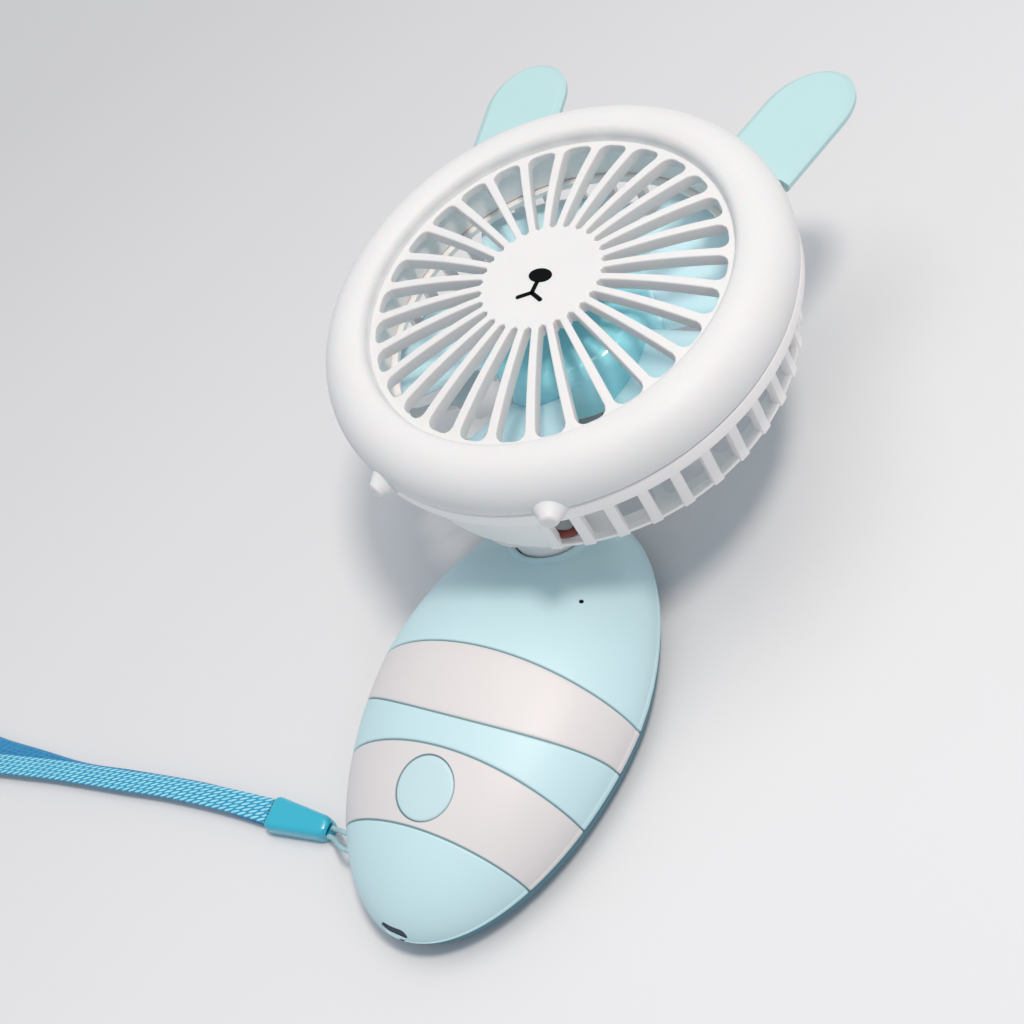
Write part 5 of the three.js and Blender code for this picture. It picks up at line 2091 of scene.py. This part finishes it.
@dataclass
class Strap:
    """The wrist strap: a flat braid, its clamp and the thin cord that holds it to the handle."""

    braid_half_width: float = 2.5 * MM
    braid_flare: float = 0.5 * MM
    flare_length: float = 16.0 * MM
    braid_half_thickness: float = 0.75 * MM
    braid_step: float = 0.3 * MM
    relief: float = 0.16 * MM
    section_powers: tuple[float, float] = (0.7, 0.45)
    strand_power: float = 0.6
    beat_share: float = 0.28
    cord_radius: float = 0.6 * MM
    cord_pitch: float = 2.4 * MM
    cord_waist: float = 0.2
    cord_step: float = 0.15 * MM
    clamp_x: float = -39.2 * MM
    clamp_y: float = -33.9 * MM
    clamp_z: float = 2.35 * MM
    clamp_length: float = 16.6 * MM
    clamp_nose: float = 5.4 * MM
    clamp_tail: float = 8.0 * MM
    clamp_height: float = 4.4 * MM
    clamp_degrees: float = 1.5
    nose_corner: float = 2.3 * MM
    tail_corner: float = 1.6 * MM
    top_round: float = 1.5 * MM
    low_round: float = 0.7 * MM
    mouth_half: tuple[float, float] = (1.55 * MM, 0.85 * MM)
    mouth_rise: float = 0.5 * MM
    mouth_depth: float = 3.0 * MM
    finish: Braided = BRAID_BLUE

    def build_braid(self) -> bpy.types.Object:
        """Builds the flat braid with its strands in relief and a map of lengths for its flecks."""
        route = Route(BRAID_ROUTE_MM)
        draft = Draft()
        around = 28
        rows, maps = [], []
        for point, ahead, reach in route.walk(self.braid_step):
            aside = UP.cross(ahead).normalized()
            upward = ahead.cross(aside)
            from_end = min(reach, route.length - reach)
            half_width = self.braid_half_width + self.braid_flare * math.exp(-from_end / self.flare_length)
            row, marks = [], []
            for i in range(around):
                angle = 2 * math.pi * i / around
                flat = math.copysign(abs(math.cos(angle)) ** self.section_powers[0], math.cos(angle))
                thick = math.copysign(abs(math.sin(angle)) ** self.section_powers[1], math.sin(angle))
                share = (flat + 1) / 2
                strand = abs(math.sin(math.pi * share * self.finish.rows))
                row_number = math.floor(share * self.finish.rows)
                beat = math.cos(2 * math.pi * (reach / self.finish.pitch + 0.5 * row_number))
                raised = strand**self.strand_power * (1 - self.beat_share + self.beat_share * beat)
                sunk = self.relief * (1 - raised)
                half_thickness = self.braid_half_thickness - sunk
                row.append(point + aside * flat * half_width + upward * thick * half_thickness)
                marks.append((reach, min(max(share, 0.001), 0.999)))
            rows.append(row)
            maps.append(marks)
        draft.stack(rows)
        piece = draft.build("wrist_braid", 60.0, merge=0.0001 * MM)
        flat_map = [mark for marks in maps for mark in marks]
        layer = piece.data.uv_layers.new(name="braid_map")
        for loop in piece.data.loops:
            layer.data[loop.index].uv = flat_map[loop.vertex_index]
        return piece

    def build_cord(self) -> bpy.types.Object:
        """Builds the thin twisted cord through the handle's two holes."""
        twist = 2 * math.pi / self.cord_pitch

        def arm(angle: float, reach: float) -> float:
            """Radius of the two twisted strands together."""
            lobe = abs(math.cos(angle - reach * twist))
            return self.cord_radius * (1 - self.cord_waist + self.cord_waist * lobe)

        return Route(CORD_ROUTE_MM).sweep(self.cord_step, 16, UP, arm).build("strap_loop", 60.0)

    def clamp_outline(self, inset: float) -> Outline:
        """Lists the clamp's outline, narrower at its nose, drawn inward.

        Args:
            inset: How far inward.

        Returns:
            Place along and across of each point.
        """
        half = self.clamp_length / 2 - inset
        places = []
        stations = (
            (half, self.clamp_nose / 2 - inset, self.nose_corner, 0),
            (-half, self.clamp_tail / 2 - inset, self.tail_corner, 90),
            (-half, -(self.clamp_tail / 2 - inset), self.tail_corner, 180),
            (half, -(self.clamp_nose / 2 - inset), self.nose_corner, 270),
        )
        for x, y, corner, start in stations:
            corner = max(corner - inset, 0.3 * MM)
            centre = (x - math.copysign(corner, x), y - math.copysign(corner, y))
            places += arc(centre, corner, math.radians(start), math.radians(start + 90), 8)
        return places

    def build_clamp(self) -> bpy.types.Object:
        """Builds the clamp with softly rounded edges and the opening at its nose."""
        draft = Draft()
        half = self.clamp_height / 2
        section = [(inset, depth - half) for inset, depth in reversed(quarter(self.low_round, 4))]
        section += [(inset, half - depth) for inset, depth in quarter(self.top_round, 6)]
        turn = Matrix.Rotation(math.radians(self.clamp_degrees), 3, "Z")
        centre = Vector((self.clamp_x, self.clamp_y, self.clamp_z))
        rows = []
        for inset, z in section:
            rows.append([centre + turn @ Vector((x, y, z)) for x, y in self.clamp_outline(inset)])
        draft.stack(rows)
        clamp = draft.build("cord_clamp", 30.0)
        hole = Draft()
        mouth = [(y * self.mouth_half[0], z * self.mouth_half[1]) for y, z, _ in circle(1.0, 24, 0.0)]
        nose = self.clamp_length / 2
        hole.stack([
            [centre + turn @ Vector((x, y, z + self.mouth_rise)) for y, z in mouth]
            for x in (nose - self.mouth_depth, nose + MM)
        ])
        cut(clamp, hole.build("clamp_mouth"))
        return clamp

    def build(self) -> None:
        """Builds the strap and dresses it."""
        clamp = self.build_clamp()
        settle(clamp, Body.HANDLE, CLAMP_BLUE, "strap_clamp")
        cord = self.build_cord()
        settle(cord, Body.HANDLE, CORD_PALE, "strap_cord")
        Route(CORD_ROUTE_MM).length
        braid = self.build_braid()
        settle(braid, Body.HANDLE, self.finish, "strap_braid")
        Route(BRAID_ROUTE_MM).length


# Inner parts, studio and camera


@dataclass
class MotorLead:
    """The motor's lead, which bends past the cage's first window on its way to the neck's bore."""

    radius: float = 0.9 * MM
    step: float = 0.4 * MM
    slant: Vector = field(default_factory=lambda: Vector((0.35, 0.35, 0.87)))
    route_mm: tuple[Place, ...] = (
        (1.5, -16.4, -25.2), (8, -27, -25.1), (13.4, -37.4, -25.3), (15, -41.8, -25.4), (11, -43.2, -25.4),
        (4.5, -40.6, -25.3), (0.4, -36.8, -26), (0, -36.2, -27.6), (0, -36.2, -29.9),
    )

    def build(self) -> None:
        """Builds the lead as a round tube and dresses it."""
        centre = HEAD_CENTRE / MM
        route = Route([tuple(centre + Vector(point)) for point in self.route_mm])
        tube = route.sweep(self.step, 16, self.slant, lambda angle, reach: self.radius)
        settle(tube.build("motor_wire", 60.0), Body.HEAD, LEAD_RED, "motor_lead")


@dataclass
class InnerParts:
    """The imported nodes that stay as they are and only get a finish."""

    finishes: Mapping[str, Moulded | Metal] = field(default_factory=lambda: {
        "indicator_light": PRINT_BLACK,
        "circuit_board": BOARD_GREEN,
        "tact_switch": SOCKET_BLACK,
        "usb_socket": PORT_NAVY,
        "battery": FOIL,
        "motor": MOTOR_CAN,
        **dict.fromkeys((
            "hinge_bracket", "hinge_pin", "hinge_washer_left", "hinge_washer_right", "handle_screw_1",
            "handle_screw_2", "handle_screw_3", "handle_screw_4", "motor_shaft",
        ), STEEL),
    })

    def build(self) -> None:
        """Dresses each node."""
        for name, finish in self.finishes.items():
            PALETTE.dress(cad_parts[name], finish)
            log.info("node %s as %s", name, finish.name)


@dataclass(frozen=True)
class Lamp:
    """A round soft lamp that looks at the fan."""

    name: str
    place: tuple[float, float, float]
    size: float
    power: float
    colour: Colour


@dataclass
class Studio:
    """The plain floor, the soft lamps and the camera."""

    floor_size: float = 6.0
    camera_place: Vector = field(default_factory=lambda: Vector((187.99, -109.17, 311.29)) * MM)
    camera_aim: Vector = field(default_factory=lambda: Vector((-25.11, 52.26, 0.0)) * MM)
    camera_roll_degrees: float = -34.904
    focal_pixels: float = 1732.3
    picture_pixels: float = 1024.0
    sensor: float = 36.0
    world_level: float = 0.56
    sky_colour: Colour = linear(226, 238, 251)
    lamps: tuple[Lamp, ...] = (
        Lamp("key_lamp", (0.5, 0.15, 1.4), 0.26, 10.0, linear(255, 244, 234)),
        Lamp("soft_lamp", (-0.05, 0.35, 1.4), 1.0, 6.0, linear(255, 247, 240)),
    )

    def build_floor(self) -> None:
        """Builds the floor."""
        draft = Draft()
        half = self.floor_size / 2
        draft.faces.append(tuple(draft.row([
            (-half, -half, 0.0), (half, -half, 0.0), (half, half, 0.0), (-half, half, 0.0),
        ])))
        floor = draft.build("floor")
        PALETTE.dress(floor, FLOOR_PAPER)

    def build_camera(self) -> None:
        """Builds the camera at the photograph's viewpoint."""
        lens = bpy.data.cameras.new("camera")
        lens.sensor_width = self.sensor
        lens.lens = self.focal_pixels / self.picture_pixels * self.sensor
        lens.clip_start = 0.01
        camera = bpy.data.objects.new("camera", lens)
        back = (self.camera_place - self.camera_aim).normalized()
        right = UP.cross(back).normalized()
        up = back.cross(right)
        turn = Matrix((right, up, back)).transposed() @ Matrix.Rotation(
            math.radians(self.camera_roll_degrees), 3, "Z"
        )
        camera.matrix_world = Matrix.Translation(self.camera_place) @ turn.to_4x4()
        bpy.context.scene.collection.objects.link(camera)
        bpy.context.scene.camera = camera

    def build_light(self) -> None:
        """Builds the soft lamps and an even sky."""
        target = HEAD_CENTRE / 2
        for lamp in self.lamps:
            data = bpy.data.lights.new(lamp.name, "AREA")
            data.shape = "DISK"
            data.size = lamp.size
            data.energy = lamp.power
            data.color = lamp.colour[:3]
            made = bpy.data.objects.new(lamp.name, data)
            made.location = lamp.place
            made.rotation_euler = (made.location - target).to_track_quat("Z", "Y").to_euler()
            bpy.context.scene.collection.objects.link(made)
        world = bpy.data.worlds.new("even_sky")
        world.use_nodes = True
        sky = world.node_tree.nodes["Background"]
        sky.inputs["Color"].default_value = self.sky_colour
        sky.inputs["Strength"].default_value = self.world_level
        bpy.context.scene.world = world

    def build(self) -> None:
        """Builds the studio."""
        self.build_camera()
        self.build_floor()
        self.build_light()
        bpy.context.scene.view_settings.view_transform = "Standard"


def main() -> None:
    """Builds the fan's pieces in order."""
    logging.basicConfig(level=logging.INFO, format="%(name)s: %(message)s")
    Studio().build()
    Strap().build()
    HandleFront().build()
    HandleBack().build()
    FrontCover().build()
    RearHousing().build()
    Ears().build()
    Rotor().build()
    Neck().build()
    FacePrint().build()
    MotorLead().build()
    InnerParts().build()


if __name__ == "__main__":
    main()
